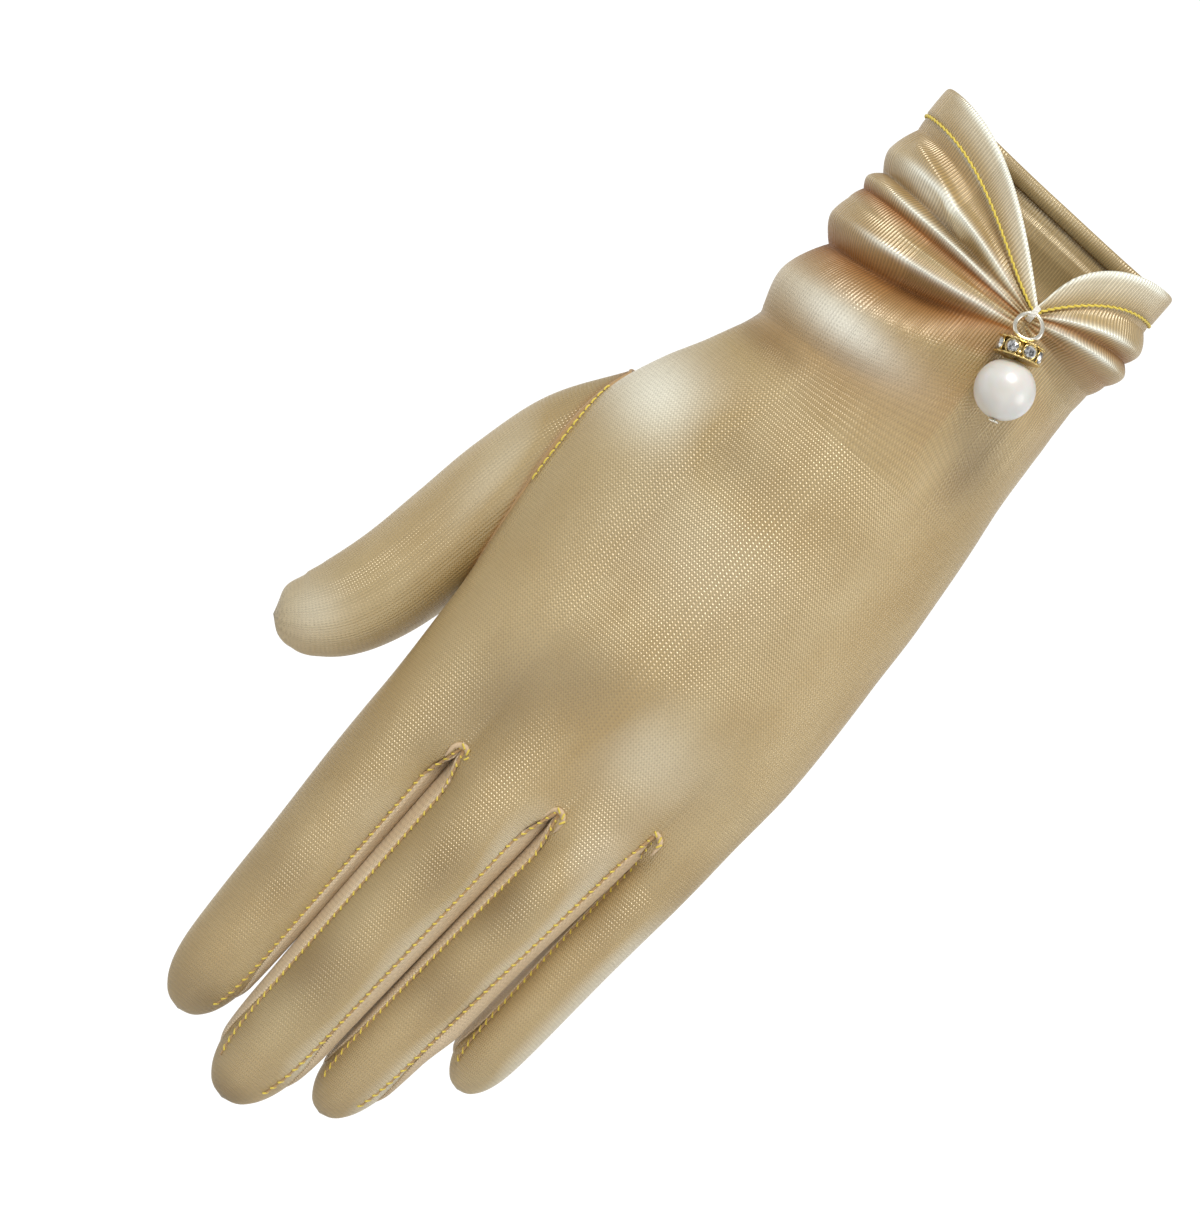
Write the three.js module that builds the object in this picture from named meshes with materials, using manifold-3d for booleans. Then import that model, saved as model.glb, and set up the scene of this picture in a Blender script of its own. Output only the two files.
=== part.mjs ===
import * as THREE from 'three';
import { mergeVertices } from 'three/addons/utils/BufferGeometryUtils.js';
import Module from 'manifold-3d';

const wasm = await Module();
wasm.setup();

// A wrist length dress glove in its worn form, left hand, millimetres.
// The origin is the middle of the wrist, level with the gathered point of the cuff.
// +Z runs up the forearm and the fingers hang down. The back of the hand faces -Y
// and the thumb lies towards -X.

// Cloth
const clothWall = 1.4;
const seamGap = 0.3;
const hemLayer = 0.45; // how far the doubled hem stands proud
const foldRise = 2.0; // height of a full fold at the side of the wrist
const frontFoldGain = 0.4; // the folds stand higher on the back of the hand
const palmFoldFade = 0.7; // and lie flatter round the palm side
const mouthOverrun = 1.3; // share of the cuff's height that the hollow is cut to

// Hand
const cuffHeight = 22;
const palmLength = 131;
const wristWidth = 60;
const wristThickness = 38;
const palmWidth = 76;
const palmThickness = 29;
const gatherAngle = 71.6; // degrees round from the little finger side
const forkStart = 0.72; // level where the palm starts to follow the line of the forks

// Fingers and thumb
const fingerLength = 83.4;
const fingerWidth = 18.8;
const fingerThickness = 16.4;
const fingerSquare = 2.25; // 2 is a plain oval, more is squarer
const thumbWidth = 21;
const thumbThickness = 21;
const fourchetteWidth = 8.4;
const fourchetteEnd = 0.86; // share of each finger that its side strip reaches
const stripTaper = 0.35;
const slotLap = 0.5; // how far a slot passes the middle line between two fingers
const forkSteps = [-0.11, -0.015, 0.02]; // shares of the finger length below a fork
const stripStations = [0.2, 0.42, 0.65];

// Pendant
const pearlDiameter = 11.8;
const pearlAcross = 15.6;
const pearlDrop = 15.2;
const pendantLean = 20; // degrees from straight down, towards the little finger
const beadBore = 1.3;
const pinDiameter = 0.75;
const pinHeadDiameter = 2.2;
const pinHeadHeight = 0.4;
const pieceGap = 0.3;
const rondelleDiameter = 9.2;
const rondelleCore = 4.6;
const flangeThickness = 0.35;
const flangeRound = 0.15;
const stoneCount = 7;
const stoneDiameter = 2.4;
const stoneDepth = 1.8;
const stoneGap = 0.2;
const stoneFacets = 8;
const crownShare = 0.36; // of the stone's depth
const tableShare = 0.58; // of the stone's diameter
const eyeDiameter = 5.8;
const threadDiameter = 0.8;
const threadSlack = 1.5; // shares of the piece gap that the thread stands off
const threadSquare = 2.6;
const threadPoints = 12;
const threadSteps = 24;

// How fine the faceted surfaces are
const handColumns = 40;
const foldPlaces = [0.15, 0.85]; // where rings lie between two rows of the folds
const hemPlaces = [0, 0.94];
const fingerColumns = 12;
const thumbColumns = 16;
const pearlSteps = 8;
const beadSides = 14;

// Sections of the hand. Level -1 is the top of the cuff, 0 the gathered point, 1 the forks.
// Left, right, back and palm are shares of half the width and of the thickness, and wrist
// says how much of each comes from the wrist's size rather than the palm's.
const handSections = [
  { level: -1.1, wrist: 1.0, left: 0.975, right: 0.955, back: 0.52, palm: 0.53, square: 2.3 },
  { level: -0.5, wrist: 1.0, left: 0.98, right: 0.955, back: 0.5, palm: 0.51, square: 2.3 },
  { level: 0.0, wrist: 1.0, left: 0.98, right: 0.96, back: 0.49, palm: 0.5, square: 2.3 },
  { level: 0.12, wrist: 1.0, left: 0.965, right: 0.965, back: 0.49, palm: 0.49, square: 2.3 },
  { level: 0.2, wrist: 1.0, left: 0.975, right: 0.985, back: 0.48, palm: 0.48, square: 2.3 },
  { level: 0.26, wrist: 0.95, left: 0.97, right: 1.0, back: 0.46, palm: 0.48, square: 2.3 },
  { level: 0.33, wrist: 0.6, left: 0.99, right: 0.955, back: 0.49, palm: 0.52, square: 2.35 },
  { level: 0.4, wrist: 0.25, left: 1.04, right: 0.91, back: 0.52, palm: 0.56, square: 2.4 },
  { level: 0.47, wrist: 0.0, left: 1.075, right: 0.885, back: 0.53, palm: 0.59, square: 2.4 },
  { level: 0.55, wrist: 0.0, left: 1.11, right: 0.9, back: 0.51, palm: 0.58, square: 2.4 },
  { level: 0.62, wrist: 0.0, left: 1.105, right: 0.92, back: 0.49, palm: 0.55, square: 2.4 },
  { level: 0.69, wrist: 0.0, left: 1.07, right: 0.934, back: 0.47, palm: 0.5, square: 2.4 },
  { level: 0.77, wrist: 0.0, left: 1.03, right: 0.938, back: 0.45, palm: 0.45, square: 2.4 },
  { level: 0.83, wrist: 0.0, left: 1.005, right: 0.932, back: 0.42, palm: 0.41, square: 2.5 },
  { level: 0.9, wrist: 0.0, left: 0.99, right: 0.92, back: 0.35, palm: 0.37, square: 2.6 },
  { level: 0.96, wrist: 0.0, left: 0.96, right: 0.89, back: 0.29, palm: 0.34, square: 2.8 },
  { level: 1.0, wrist: 0.0, left: 0.9, right: 0.84, back: 0.2, palm: 0.25, square: 3.0 },
];
const palmLevels = [0.39, 0.46, 0.54, 0.63, 0.72, 0.81, 0.89, 0.96, 1.0];

// The line of the forks falls towards the index finger and climbs to the little finger.
// Across is a share of half the palm's width, climb of the palm's length.
const forkLine = [
  { across: -1.0, climb: -0.024 },
  { across: -0.48, climb: -0.022 },
  { across: 0.14, climb: 0.0 },
  { across: 0.62, climb: 0.073 },
  { across: 1.0, climb: 0.085 },
];

// The folds of the cuff run out of the gathered point. Left, middle and right are a row's
// height at the thumb side, at the gather and at the little finger side, as shares of the
// cuff's height, and the rises are shares of a full fold. A bow under 1 climbs steeply.
const foldRows = [
  { name: 'top edge', left: 0.975, middle: 0.0, right: 0.86, leftBow: 1.0, rightBow: 0.36,
    leftRise: 0.1, rightRise: 0.0 },
  { name: 'hem line', left: 0.7, middle: -0.018, right: 0.587, leftBow: 1.25, rightBow: 0.85,
    leftRise: 0.0, rightRise: 0.0 },
  { name: 'below hem', left: 0.56, middle: -0.032, right: 0.51, leftBow: 1.2, rightBow: 0.9,
    leftRise: -0.15, rightRise: 0.1 },
  { name: 'upper fold', left: 0.276, middle: -0.05, right: 0.337, leftBow: 1.1, rightBow: 0.95,
    leftRise: 0.6, rightRise: 1.05 },
  { name: 'upper groove', left: 0.08, middle: -0.068, right: 0.2, leftBow: 1.2, rightBow: 1.0,
    leftRise: -0.35, rightRise: 0.55 },
  { name: 'middle fold', left: -0.03, middle: -0.09, right: 0.1, leftBow: 1.0, rightBow: 1.0,
    leftRise: 0.55, rightRise: 1.25 },
  { name: 'dark groove', left: -0.13, middle: -0.115, right: -0.06, leftBow: 1.0, rightBow: 1.0,
    leftRise: 0.1, rightRise: 0.5 },
  { name: 'soft rise', left: -0.28, middle: -0.14, right: -0.22, leftBow: 1.0, rightBow: 1.0,
    leftRise: 0.6, rightRise: -0.1 },
  { name: 'lower fold', left: -0.46, middle: -0.17, right: -0.42, leftBow: 1.0, rightBow: 1.0,
    leftRise: 0.85, rightRise: -0.2 },
  { name: 'deep groove', left: -0.69, middle: -0.25, right: -0.7, leftBow: 1.0, rightBow: 1.0,
    leftRise: -0.6, rightRise: -0.1 },
  { name: 'soft bulge', left: -1.12, middle: -0.56, right: -1.06, leftBow: 1.0, rightBow: 1.0,
    leftRise: 1.05, rightRise: 0.05 },
  { name: 'last groove', left: -1.52, middle: -1.04, right: -1.5, leftBow: 1.0, rightBow: 1.0,
    leftRise: -0.15, rightRise: 0.0 },
  { name: 'fold end', left: -1.95, middle: -1.95, right: -1.95, leftBow: 1.0, rightBow: 1.0,
    leftRise: 0.0, rightRise: 0.0 },
];

// Across, bow and sink place a finger; lean and curl are what its tip moves by.
// Across is a share of half the palm's width, reach of the finger length, width of the
// finger width, sink and curl of the finger thickness, lean and bow of the finger's width.
const fingers = [
  { name: 'index', across: -0.722, lean: 0.085, bow: 0.0,
    reach: 0.911, width: 1.0, sink: 0.05, curl: 0.2 },
  { name: 'middle', across: -0.165, lean: -0.11, bow: 0.0,
    reach: 1.0, width: 1.07, sink: -0.05, curl: 0.24 },
  { name: 'ring', across: 0.355, lean: -0.3, bow: -0.01,
    reach: 0.881, width: 0.83, sink: -0.02, curl: 0.46 },
  { name: 'little', across: 0.722, lean: -0.14, bow: -0.02,
    reach: 0.636, width: 0.7, sink: 0.33, curl: 0.36 },
];
const fingerProfile = [
  { along: -0.36, wide: 0.74, deep: 0.66 },
  { along: -0.1, wide: 1.0, deep: 1.0 },
  { along: 0.15, wide: 0.985, deep: 0.98 },
  { along: 0.45, wide: 0.935, deep: 0.92 },
  { along: 0.7, wide: 0.89, deep: 0.86 },
  { along: 0.82, wide: 0.845, deep: 0.8 },
  { along: 0.89, wide: 0.765, deep: 0.71 },
  { along: 0.94, wide: 0.63, deep: 0.58 },
  { along: 0.975, wide: 0.44, deep: 0.41 },
  { along: 1.0, wide: 0.16, deep: 0.15 },
];

// Across is a share of half the palm's width, down of the palm's length, sink of its thickness,
// wide and deep of the thumb's width and thickness.
const thumbSections = [
  { along: 0.0, across: -0.9, down: 0.46, sink: 0.14, wide: 0.62, deep: 0.6 },
  { along: 0.17, across: -1.035, down: 0.575, sink: 0.24, wide: 0.98, deep: 0.98 },
  { along: 0.34, across: -1.137, down: 0.687, sink: 0.3, wide: 1.02, deep: 1.06 },
  { along: 0.5, across: -1.2, down: 0.79, sink: 0.33, wide: 1.0, deep: 1.04 },
  { along: 0.65, across: -1.252, down: 0.878, sink: 0.32, wide: 0.985, deep: 0.97 },
  { along: 0.75, across: -1.305, down: 0.935, sink: 0.3, wide: 0.96, deep: 0.9 },
  { along: 0.84, across: -1.376, down: 0.982, sink: 0.28, wide: 0.9, deep: 0.8 },
  { along: 0.91, across: -1.465, down: 1.017, sink: 0.265, wide: 0.78, deep: 0.66 },
  { along: 0.96, across: -1.545, down: 1.038, sink: 0.255, wide: 0.58, deep: 0.48 },
  { along: 1.0, across: -1.62, down: 1.055, sink: 0.25, wide: 0.24, deep: 0.2 },
];

const radians = THREE.MathUtils.degToRad;
const lerp = THREE.MathUtils.lerp;
const smoothstep = THREE.MathUtils.smoothstep;

// One column of a table, on a smooth curve between its rows.
function columnAt(rows, key, column, place) {
  const last = rows.length - 1;
  if (place <= rows[0][key]) return rows[0][column];
  if (place >= rows[last][key]) return rows[last][column];
  let i = 0;
  while (rows[i + 1][key] < place) i += 1;
  const slope = (k) => {
    const before = rows[Math.max(k - 1, 0)];
    const after = rows[Math.min(k + 1, last)];
    return (after[column] - before[column]) / (after[key] - before[key]);
  };
  const span = rows[i + 1][key] - rows[i][key];
  const t = (place - rows[i][key]) / span;
  const start = rows[i][column];
  const end = rows[i + 1][column];
  const rise = slope(i) * span;
  const fall = slope(i + 1) * span;
  return start + t * rise + t * t * (3 * (end - start) - 2 * rise - fall)
    + t * t * t * (2 * (start - end) + rise + fall);
}

// A closed body from rings of equal length, each closed end filled as a fan.
function loftGeometry(rings) {
  const sides = rings[0].length;
  const positions = rings.flat().flatMap((point) => point.toArray());
  const index = [];
  for (let row = 0; row < rings.length - 1; row += 1) {
    for (let side = 0; side < sides; side += 1) {
      const next = (side + 1) % sides;
      const a = row * sides + side;
      const b = row * sides + next;
      index.push(a, b, a + sides, b, b + sides, a + sides);
    }
  }
  for (const [row, turned] of [[0, true], [rings.length - 1, false]]) {
    const middle = new THREE.Vector3();
    rings[row].forEach((point) => middle.addScaledVector(point, 1 / sides));
    const hub = positions.length / 3;
    positions.push(...middle.toArray());
    for (let side = 0; side < sides; side += 1) {
      const a = row * sides + side;
      const b = row * sides + ((side + 1) % sides);
      index.push(...(turned ? [hub, b, a] : [hub, a, b]));
    }
  }
  const geometry = new THREE.BufferGeometry();
  geometry.setAttribute('position', new THREE.Float32BufferAttribute(positions, 3));
  geometry.setIndex(index);
  return geometry;
}

function signedVolume(positions, index) {
  const corner = [new THREE.Vector3(), new THREE.Vector3(), new THREE.Vector3()];
  let volume = 0;
  for (let i = 0; i < index.length; i += 3) {
    corner.forEach((point, k) => point.fromArray(positions, index[i + k] * 3));
    volume += corner[0].dot(corner[1].cross(corner[2])) / 6;
  }
  return volume;
}

function toSolid(geometry) {
  const bare = geometry.clone();
  bare.deleteAttribute('normal');
  bare.deleteAttribute('uv');
  const merged = mergeVertices(bare, 1e-4);
  const positions = Float32Array.from(merged.attributes.position.array);
  const kept = [];
  const source = merged.index.array;
  for (let i = 0; i < source.length; i += 3) {
    const [a, b, c] = [source[i], source[i + 1], source[i + 2]];
    if (a !== b && b !== c && c !== a) kept.push(a, b, c);
  }
  if (signedVolume(positions, kept) < 0) kept.reverse();
  return new wasm.Manifold(new wasm.Mesh({
    numProp: 3, vertProperties: positions, triVerts: Uint32Array.from(kept),
  }));
}

function toGeometry(solid) {
  const mesh = solid.getMesh();
  const geometry = new THREE.BufferGeometry();
  geometry.setAttribute('position', new THREE.Float32BufferAttribute(mesh.vertProperties, 3));
  geometry.setIndex(Array.from(mesh.triVerts));
  return geometry;
}

// Hand

const levelHeight = (level) => -level * (level < 0 ? cuffHeight : palmLength);
const heightLevel = (z) => -z / (z > 0 ? cuffHeight : palmLength);

function handSection(z) {
  const level = heightLevel(z);
  const at = (column) => columnAt(handSections, 'level', column, level);
  const halfWidth = lerp(palmWidth, wristWidth, at('wrist')) / 2;
  const thickness = lerp(palmThickness, wristThickness, at('wrist'));
  return {
    left: at('left') * halfWidth,
    right: at('right') * halfWidth,
    back: at('back') * thickness,
    palm: at('palm') * thickness,
    square: at('square'),
  };
}

// Where a ring angle lies on the flattened oval, and which way is out of the cloth there.
function ovalPoint(section, angle, offset) {
  const across = Math.cos(angle);
  const towardsBack = Math.sin(angle);
  const width = (across > 0 ? section.right : section.left) + offset;
  const depth = (towardsBack > 0 ? section.back : section.palm) + offset;
  const power = 2 / section.square;
  const x = Math.sign(across) * Math.abs(across) ** power;
  const y = -Math.sign(towardsBack) * Math.abs(towardsBack) ** power;
  const out = new THREE.Vector2(
    Math.sign(x) * Math.abs(x) ** (section.square - 1) / width,
    Math.sign(y) * Math.abs(y) ** (section.square - 1) / depth,
  ).normalize();
  return { x: x * width, y: y * depth, out };
}

// How far a ring angle has gone from the gathered point towards either side, or round the palm.
function aroundWrist(angle) {
  const section = handSection(0);
  const gatherX = ovalPoint(section, radians(gatherAngle), 0).x;
  const x = ovalPoint(section, angle, 0).x;
  if (angle > Math.PI) return { side: 'palm', share: angle / Math.PI - 1 };
  if (angle >= radians(gatherAngle)) {
    return { side: 'left', share: (gatherX - x) / (gatherX + section.left) };
  }
  return { side: 'right', share: (x - gatherX) / (section.right - gatherX) };
}

function foldRowAt(row, angle) {
  const place = aroundWrist(angle);
  if (place.side === 'palm') {
    const blend = smoothstep(place.share, 0, 1);
    const fade = 1 - palmFoldFade * Math.sin(Math.PI * place.share);
    return {
      height: lerp(row.left, row.right, blend) * cuffHeight,
      rise: lerp(row.leftRise, row.rightRise, blend) * foldRise * fade,
      hem: 1,
    };
  }
  const climb = Math.sin(place.share * Math.PI / 2) ** row[place.side + 'Bow'];
  const swell = 1 + frontFoldGain * Math.sin(Math.PI * place.share);
  return {
    height: lerp(row.middle, row[place.side], climb) * cuffHeight,
    rise: row[place.side + 'Rise'] * foldRise * swell * smoothstep(place.share, 0, 0.5),
    hem: smoothstep(place.share, 0.0, 0.2),
  };
}

function cuffRings(offset) {
  const rings = [];
  for (let row = 0; row < foldRows.length - 1; row += 1) {
    for (const share of row === 0 ? hemPlaces : foldPlaces) {
      const ease = (1 - Math.cos(Math.PI * share)) / 2;
      const ring = [];
      for (let column = 0; column < handColumns; column += 1) {
        const angle = column / handColumns * Math.PI * 2;
        const above = foldRowAt(foldRows[row], angle);
        const below = foldRowAt(foldRows[row + 1], angle);
        const z = lerp(above.height, below.height, share);
        const hem = row === 0 && offset >= 0 ? hemLayer * above.hem : 0;
        const rise = lerp(above.rise, below.rise, ease) + hem;
        const oval = ovalPoint(handSection(z), angle, offset);
        ring.push(new THREE.Vector3(oval.x + oval.out.x * rise, oval.y + oval.out.y * rise, z));
      }
      rings.push(ring);
    }
  }
  return rings;
}

function forkShift(x, level) {
  const climb = columnAt(forkLine, 'across', 'climb', 2 * x / palmWidth);
  return smoothstep(level, forkStart, 1) * climb * palmLength;
}

function palmRings(offset) {
  return palmLevels.map((level) => {
    const section = handSection(levelHeight(level));
    const drop = level === 1 ? offset : 0;
    const ring = [];
    for (let column = 0; column < handColumns; column += 1) {
      const oval = ovalPoint(section, column / handColumns * Math.PI * 2, offset);
      const z = levelHeight(level) - drop + forkShift(oval.x, level);
      ring.push(new THREE.Vector3(oval.x, oval.y, z));
    }
    return ring;
  });
}

function handSolid(offset) {
  const rings = [...cuffRings(offset), ...palmRings(offset)];
  if (offset < 0) {
    rings.unshift(rings[0].map((point) => point.clone().setZ(mouthOverrun * cuffHeight)));
  }
  return toSolid(loftGeometry(rings));
}

// Fingers

function fingerAxis(finger, along) {
  let shift = finger.lean * along;
  let sink = finger.sink * (1 + 2 * along);
  if (along > 0) {
    shift += finger.bow * 4 * along * (1 - along);
    sink = finger.sink + finger.curl * along ** 2;
  }
  return new THREE.Vector3(
    finger.across * palmWidth / 2 + shift * fingerWidth,
    sink * fingerThickness,
    -palmLength - along * finger.reach * fingerLength,
  );
}

const alongAt = (finger, z) => (-palmLength - z) / (finger.reach * fingerLength);

function fingerSolid(finger, offset) {
  const halfWidth = finger.width * fingerWidth / 2 + offset;
  const halfDepth = (0.5 + finger.width / 2) * fingerThickness / 2 + offset;
  const rings = fingerProfile.map((row) => {
    const middle = fingerAxis(finger, row.along);
    if (row.along > 0) middle.z -= offset * row.along;
    const section = {
      left: halfWidth * row.wide,
      right: halfWidth * row.wide,
      back: halfDepth * row.deep,
      palm: halfDepth * row.deep,
      square: fingerSquare,
    };
    const ring = [];
    for (let column = 0; column < fingerColumns; column += 1) {
      const oval = ovalPoint(section, (column + 0.5) / fingerColumns * Math.PI * 2, 0);
      ring.push(new THREE.Vector3(middle.x + oval.x, middle.y + oval.y, middle.z));
    }
    return ring;
  });
  return toSolid(loftGeometry(rings));
}

// The slot that a side strip fills on one finger, from above the fork to near the tip.
function stripSlot(finger, neighbour, extra) {
  const rings = [];
  const forkAcross = (finger.across + neighbour.across) / 2;
  const forkHeight = palmLength * (columnAt(forkLine, 'across', 'climb', forkAcross) - 1);
  const forkStations = forkSteps.map((step) => alongAt(finger, forkHeight - step * fingerLength));
  for (const station of [...forkStations, ...stripStations, fourchetteEnd]) {
    const middle = fingerAxis(finger, station);
    const beyond = fingerAxis(neighbour, alongAt(neighbour, middle.z)).x;
    const between = lerp(middle.x, beyond, finger.width / (finger.width + neighbour.width))
      + Math.sign(beyond - middle.x) * slotLap;
    const belowFork = (forkHeight - middle.z) / fingerLength;
    const halfway = lerp(beyond, between, smoothstep(belowFork, forkSteps[1], forkSteps[2]));
    const half = fourchetteWidth / 2 * (1 - stripTaper * smoothstep(station, 0.5, 1)) + extra;
    const corners = [
      [middle.x, middle.y - half],
      [halfway, middle.y - half],
      [halfway, middle.y + half],
      [middle.x, middle.y + half],
    ];
    const z = middle.z - (station === fourchetteEnd ? extra : 0);
    rings.push(corners.map(([x, y]) => new THREE.Vector3(x, y, z)));
  }
  return toSolid(loftGeometry(rings));
}

// Thumb

const thumbAxis = new THREE.CatmullRomCurve3(thumbSections.map((row) => new THREE.Vector3(
  row.across * palmWidth / 2, row.sink * palmThickness, -row.down * palmLength,
)));

function thumbSolid(offset) {
  const rings = thumbSections.map((row, i) => {
    const place = i / (thumbSections.length - 1);
    const middle = thumbAxis.getPoint(place);
    const along = thumbAxis.getTangent(place);
    middle.addScaledVector(along, offset * row.along);
    const side = new THREE.Vector3(0, 1, 0).cross(along).normalize();
    const deep = along.clone().cross(side);
    const halfWidth = (thumbWidth / 2 + offset) * row.wide;
    const halfDepth = (thumbThickness / 2 + offset) * row.deep;
    const ring = [];
    for (let column = 0; column < thumbColumns; column += 1) {
      const angle = column / thumbColumns * Math.PI * 2;
      ring.push(middle.clone()
        .addScaledVector(side, halfWidth * Math.cos(angle))
        .addScaledVector(deep, halfDepth * Math.sin(angle)));
    }
    return ring;
  });
  return toSolid(loftGeometry(rings));
}

// Glove cloth, cut into its sewn pieces

function joined(solids) {
  return solids.reduce((sum, solid) => sum.add(solid));
}

const outer = joined([handSolid(0), ...fingers.map((finger) => fingerSolid(finger, 0))]);
const inner = joined([
  handSolid(-clothWall), ...fingers.map((finger) => fingerSolid(finger, -clothWall)),
]);
const shell = outer.subtract(inner);

function forkRegion(i, extra) {
  const [finger, neighbour] = fingers.slice(i, i + 2);
  return stripSlot(finger, neighbour, extra).add(stripSlot(neighbour, finger, extra));
}

const forks = fingers.slice(0, -1).map((finger, i) => ({
  name: `fourchette_${finger.name}_${fingers[i + 1].name}`,
  solid: shell.intersect(forkRegion(i, 0)),
}));

const thumb = thumbSolid(0).subtract(thumbSolid(-clothWall)).subtract(
  joined([handSolid(seamGap), ...fingers.map((finger) => fingerSolid(finger, seamGap))]),
);

// Pendant, laid on the back of the glove

const pearlRadius = pearlDiameter / 2;
const rondelleHeight = stoneDiameter + 2 * stoneGap + 2 * flangeThickness;
const cuffCloth = [...cuffRings(0), ...palmRings(0).slice(0, 2)].flat();

// The lowest a round thing can lie on the back of the glove.
function restDepth(x, z, radius) {
  let depth = 0;
  for (const point of cuffCloth) {
    const away = (point.x - x) ** 2 + (point.z - z) ** 2;
    const reach = (radius + pieceGap) ** 2 - away;
    if (reach > 0 && point.y < 0) depth = Math.min(depth, point.y - Math.sqrt(reach));
  }
  return depth;
}

const lean = radians(pendantLean);
const beadSpacing = pearlRadius + pieceGap + rondelleHeight / 2;
const pearlCentre = new THREE.Vector3(
  pearlAcross, restDepth(pearlAcross, -pearlDrop, pearlRadius), -pearlDrop,
);
const rondelleX = pearlCentre.x - Math.sin(lean) * beadSpacing;
const rondelleZ = pearlCentre.z + Math.cos(lean) * beadSpacing;
const rondelleY = restDepth(rondelleX, rondelleZ, Math.hypot(rondelleDiameter, rondelleHeight) / 2);
const pendantUp = new THREE.Vector3(rondelleX, rondelleY, rondelleZ).sub(pearlCentre).normalize();
const pendantTurn = new THREE.Quaternion().setFromUnitVectors(new THREE.Vector3(0, 0, 1), pendantUp);
const onPendant = (height) => pearlCentre.clone().addScaledVector(pendantUp, height);

// Lathe about the pendant's own axis, which is +Z before it is turned.
function beadGeometry(profile, sides) {
  const points = profile.map(([radius, height]) => new THREE.Vector2(radius, height));
  return new THREE.LatheGeometry(points, sides).rotateX(Math.PI / 2);
}

function pearlGeometry() {
  const bore = beadBore / 2;
  const start = Math.asin(bore / pearlRadius);
  const profile = [];
  for (let step = 0; step <= pearlSteps; step += 1) {
    const angle = lerp(start, Math.PI - start, step / pearlSteps);
    profile.push([pearlRadius * Math.sin(angle), -pearlRadius * Math.cos(angle)]);
  }
  profile.push(profile[0]);
  return beadGeometry(profile, beadSides);
}

function rondelleGeometry() {
  const bore = beadBore / 2;
  const rim = rondelleDiameter / 2;
  const core = rondelleCore / 2;
  const top = rondelleHeight / 2;
  const under = top - flangeThickness;
  const profile = [
    [bore, -top], [rim - 2 * flangeRound, -top], [rim, -top + flangeRound], [rim, -under],
    [core, -under], [core, under], [rim, under], [rim, top - flangeRound],
    [rim - 2 * flangeRound, top], [bore, top], [bore, -top],
  ];
  return beadGeometry(profile, 2 * stoneCount);
}

// A round cut stone, its table facing out of the rondelle.
function stoneGeometry(turn) {
  const girdle = stoneDiameter / 2;
  const crown = crownShare * stoneDepth;
  const profile = [
    [0, crown - stoneDepth], [girdle, 0], [girdle * tableShare, crown], [0, crown],
  ];
  const seat = rondelleCore / 2 + pieceGap + stoneDepth - crown;
  return beadGeometry(profile, stoneFacets).rotateZ(Math.PI / stoneFacets).rotateY(Math.PI / 2)
    .translate(seat, 0, 0).rotateZ(turn);
}

// A bent wire or thread whose ends meet.
function closedTube(curve, radius, steps, sides) {
  const frames = curve.computeFrenetFrames(steps, true);
  const positions = [];
  const index = [];
  for (let step = 0; step < steps; step += 1) {
    const middle = curve.getPointAt(step / steps);
    for (let side = 0; side < sides; side += 1) {
      const angle = side / sides * Math.PI * 2;
      positions.push(...middle.clone()
        .addScaledVector(frames.normals[step], radius * Math.cos(angle))
        .addScaledVector(frames.binormals[step], radius * Math.sin(angle)).toArray());
      const next = (step + 1) % steps;
      const a = step * sides + side;
      const b = step * sides + ((side + 1) % sides);
      const c = next * sides + side;
      const d = next * sides + ((side + 1) % sides);
      index.push(a, b, c, b, d, c);
    }
  }
  const geometry = new THREE.BufferGeometry();
  geometry.setAttribute('position', new THREE.Float32BufferAttribute(positions, 3));
  geometry.setIndex(index);
  return geometry;
}

const wireRadius = pinDiameter / 2;
const eyeRadius = eyeDiameter / 2 - wireRadius;
const rondelleMiddle = pearlRadius + pieceGap + rondelleHeight / 2;
const eyeMiddle = rondelleMiddle + rondelleHeight / 2 + pieceGap + wireRadius + eyeRadius;

function pinSolid() {
  const bottom = -pearlRadius - pieceGap - pinHeadHeight;
  const shankTop = eyeMiddle - eyeRadius;
  const head = pinHeadDiameter / 2;
  const profile = [
    [0, bottom], [head, bottom], [head, bottom + pinHeadHeight], [wireRadius, bottom + pinHeadHeight],
    [wireRadius, shankTop], [0, shankTop],
  ];
  const eye = new THREE.TorusGeometry(eyeRadius, wireRadius, 6, 20).rotateX(Math.PI / 2)
    .translate(0, 0, eyeMiddle);
  return toSolid(beadGeometry(profile, 8)).add(toSolid(eye));
}

const toPlace = new THREE.Matrix4().compose(pearlCentre, pendantTurn, new THREE.Vector3(1, 1, 1));
const placed = (geometry) => geometry.applyMatrix4(toPlace);

// The thread goes over the edge of the cloth at the gather, through it and through the eye.
const gather = ovalPoint(handSection(0), radians(gatherAngle), -clothWall / 2);
const eyeTop = onPendant(eyeMiddle + eyeRadius);

function threadCurve() {
  const thread = threadDiameter / 2;
  const room = threadSlack * pieceGap + thread;
  const fullness = 2 / threadSquare;
  const aboveEdge = Math.max(eyeTop.z + wireRadius, 0) + room;
  const belowEdge = Math.min(eyeTop.z - wireRadius, -clothWall) - room;
  const inside = gather.y + clothWall / 2 + room;
  const outside = eyeTop.y - wireRadius - room;
  const middleY = (inside + outside) / 2;
  const middleZ = (aboveEdge + belowEdge) / 2;
  const points = [];
  for (let step = 0; step < threadPoints; step += 1) {
    const angle = step / threadPoints * Math.PI * 2;
    const across = Math.sign(Math.cos(angle)) * Math.abs(Math.cos(angle)) ** fullness;
    const up = Math.sign(Math.sin(angle)) * Math.abs(Math.sin(angle)) ** fullness;
    points.push(new THREE.Vector3(
      lerp(gather.x, eyeTop.x, (1 - across) / 2),
      middleY + across * (inside - outside) / 2,
      middleZ + up * (aboveEdge - belowEdge) / 2,
    ));
  }
  return new THREE.CatmullRomCurve3(points, true);
}

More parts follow.
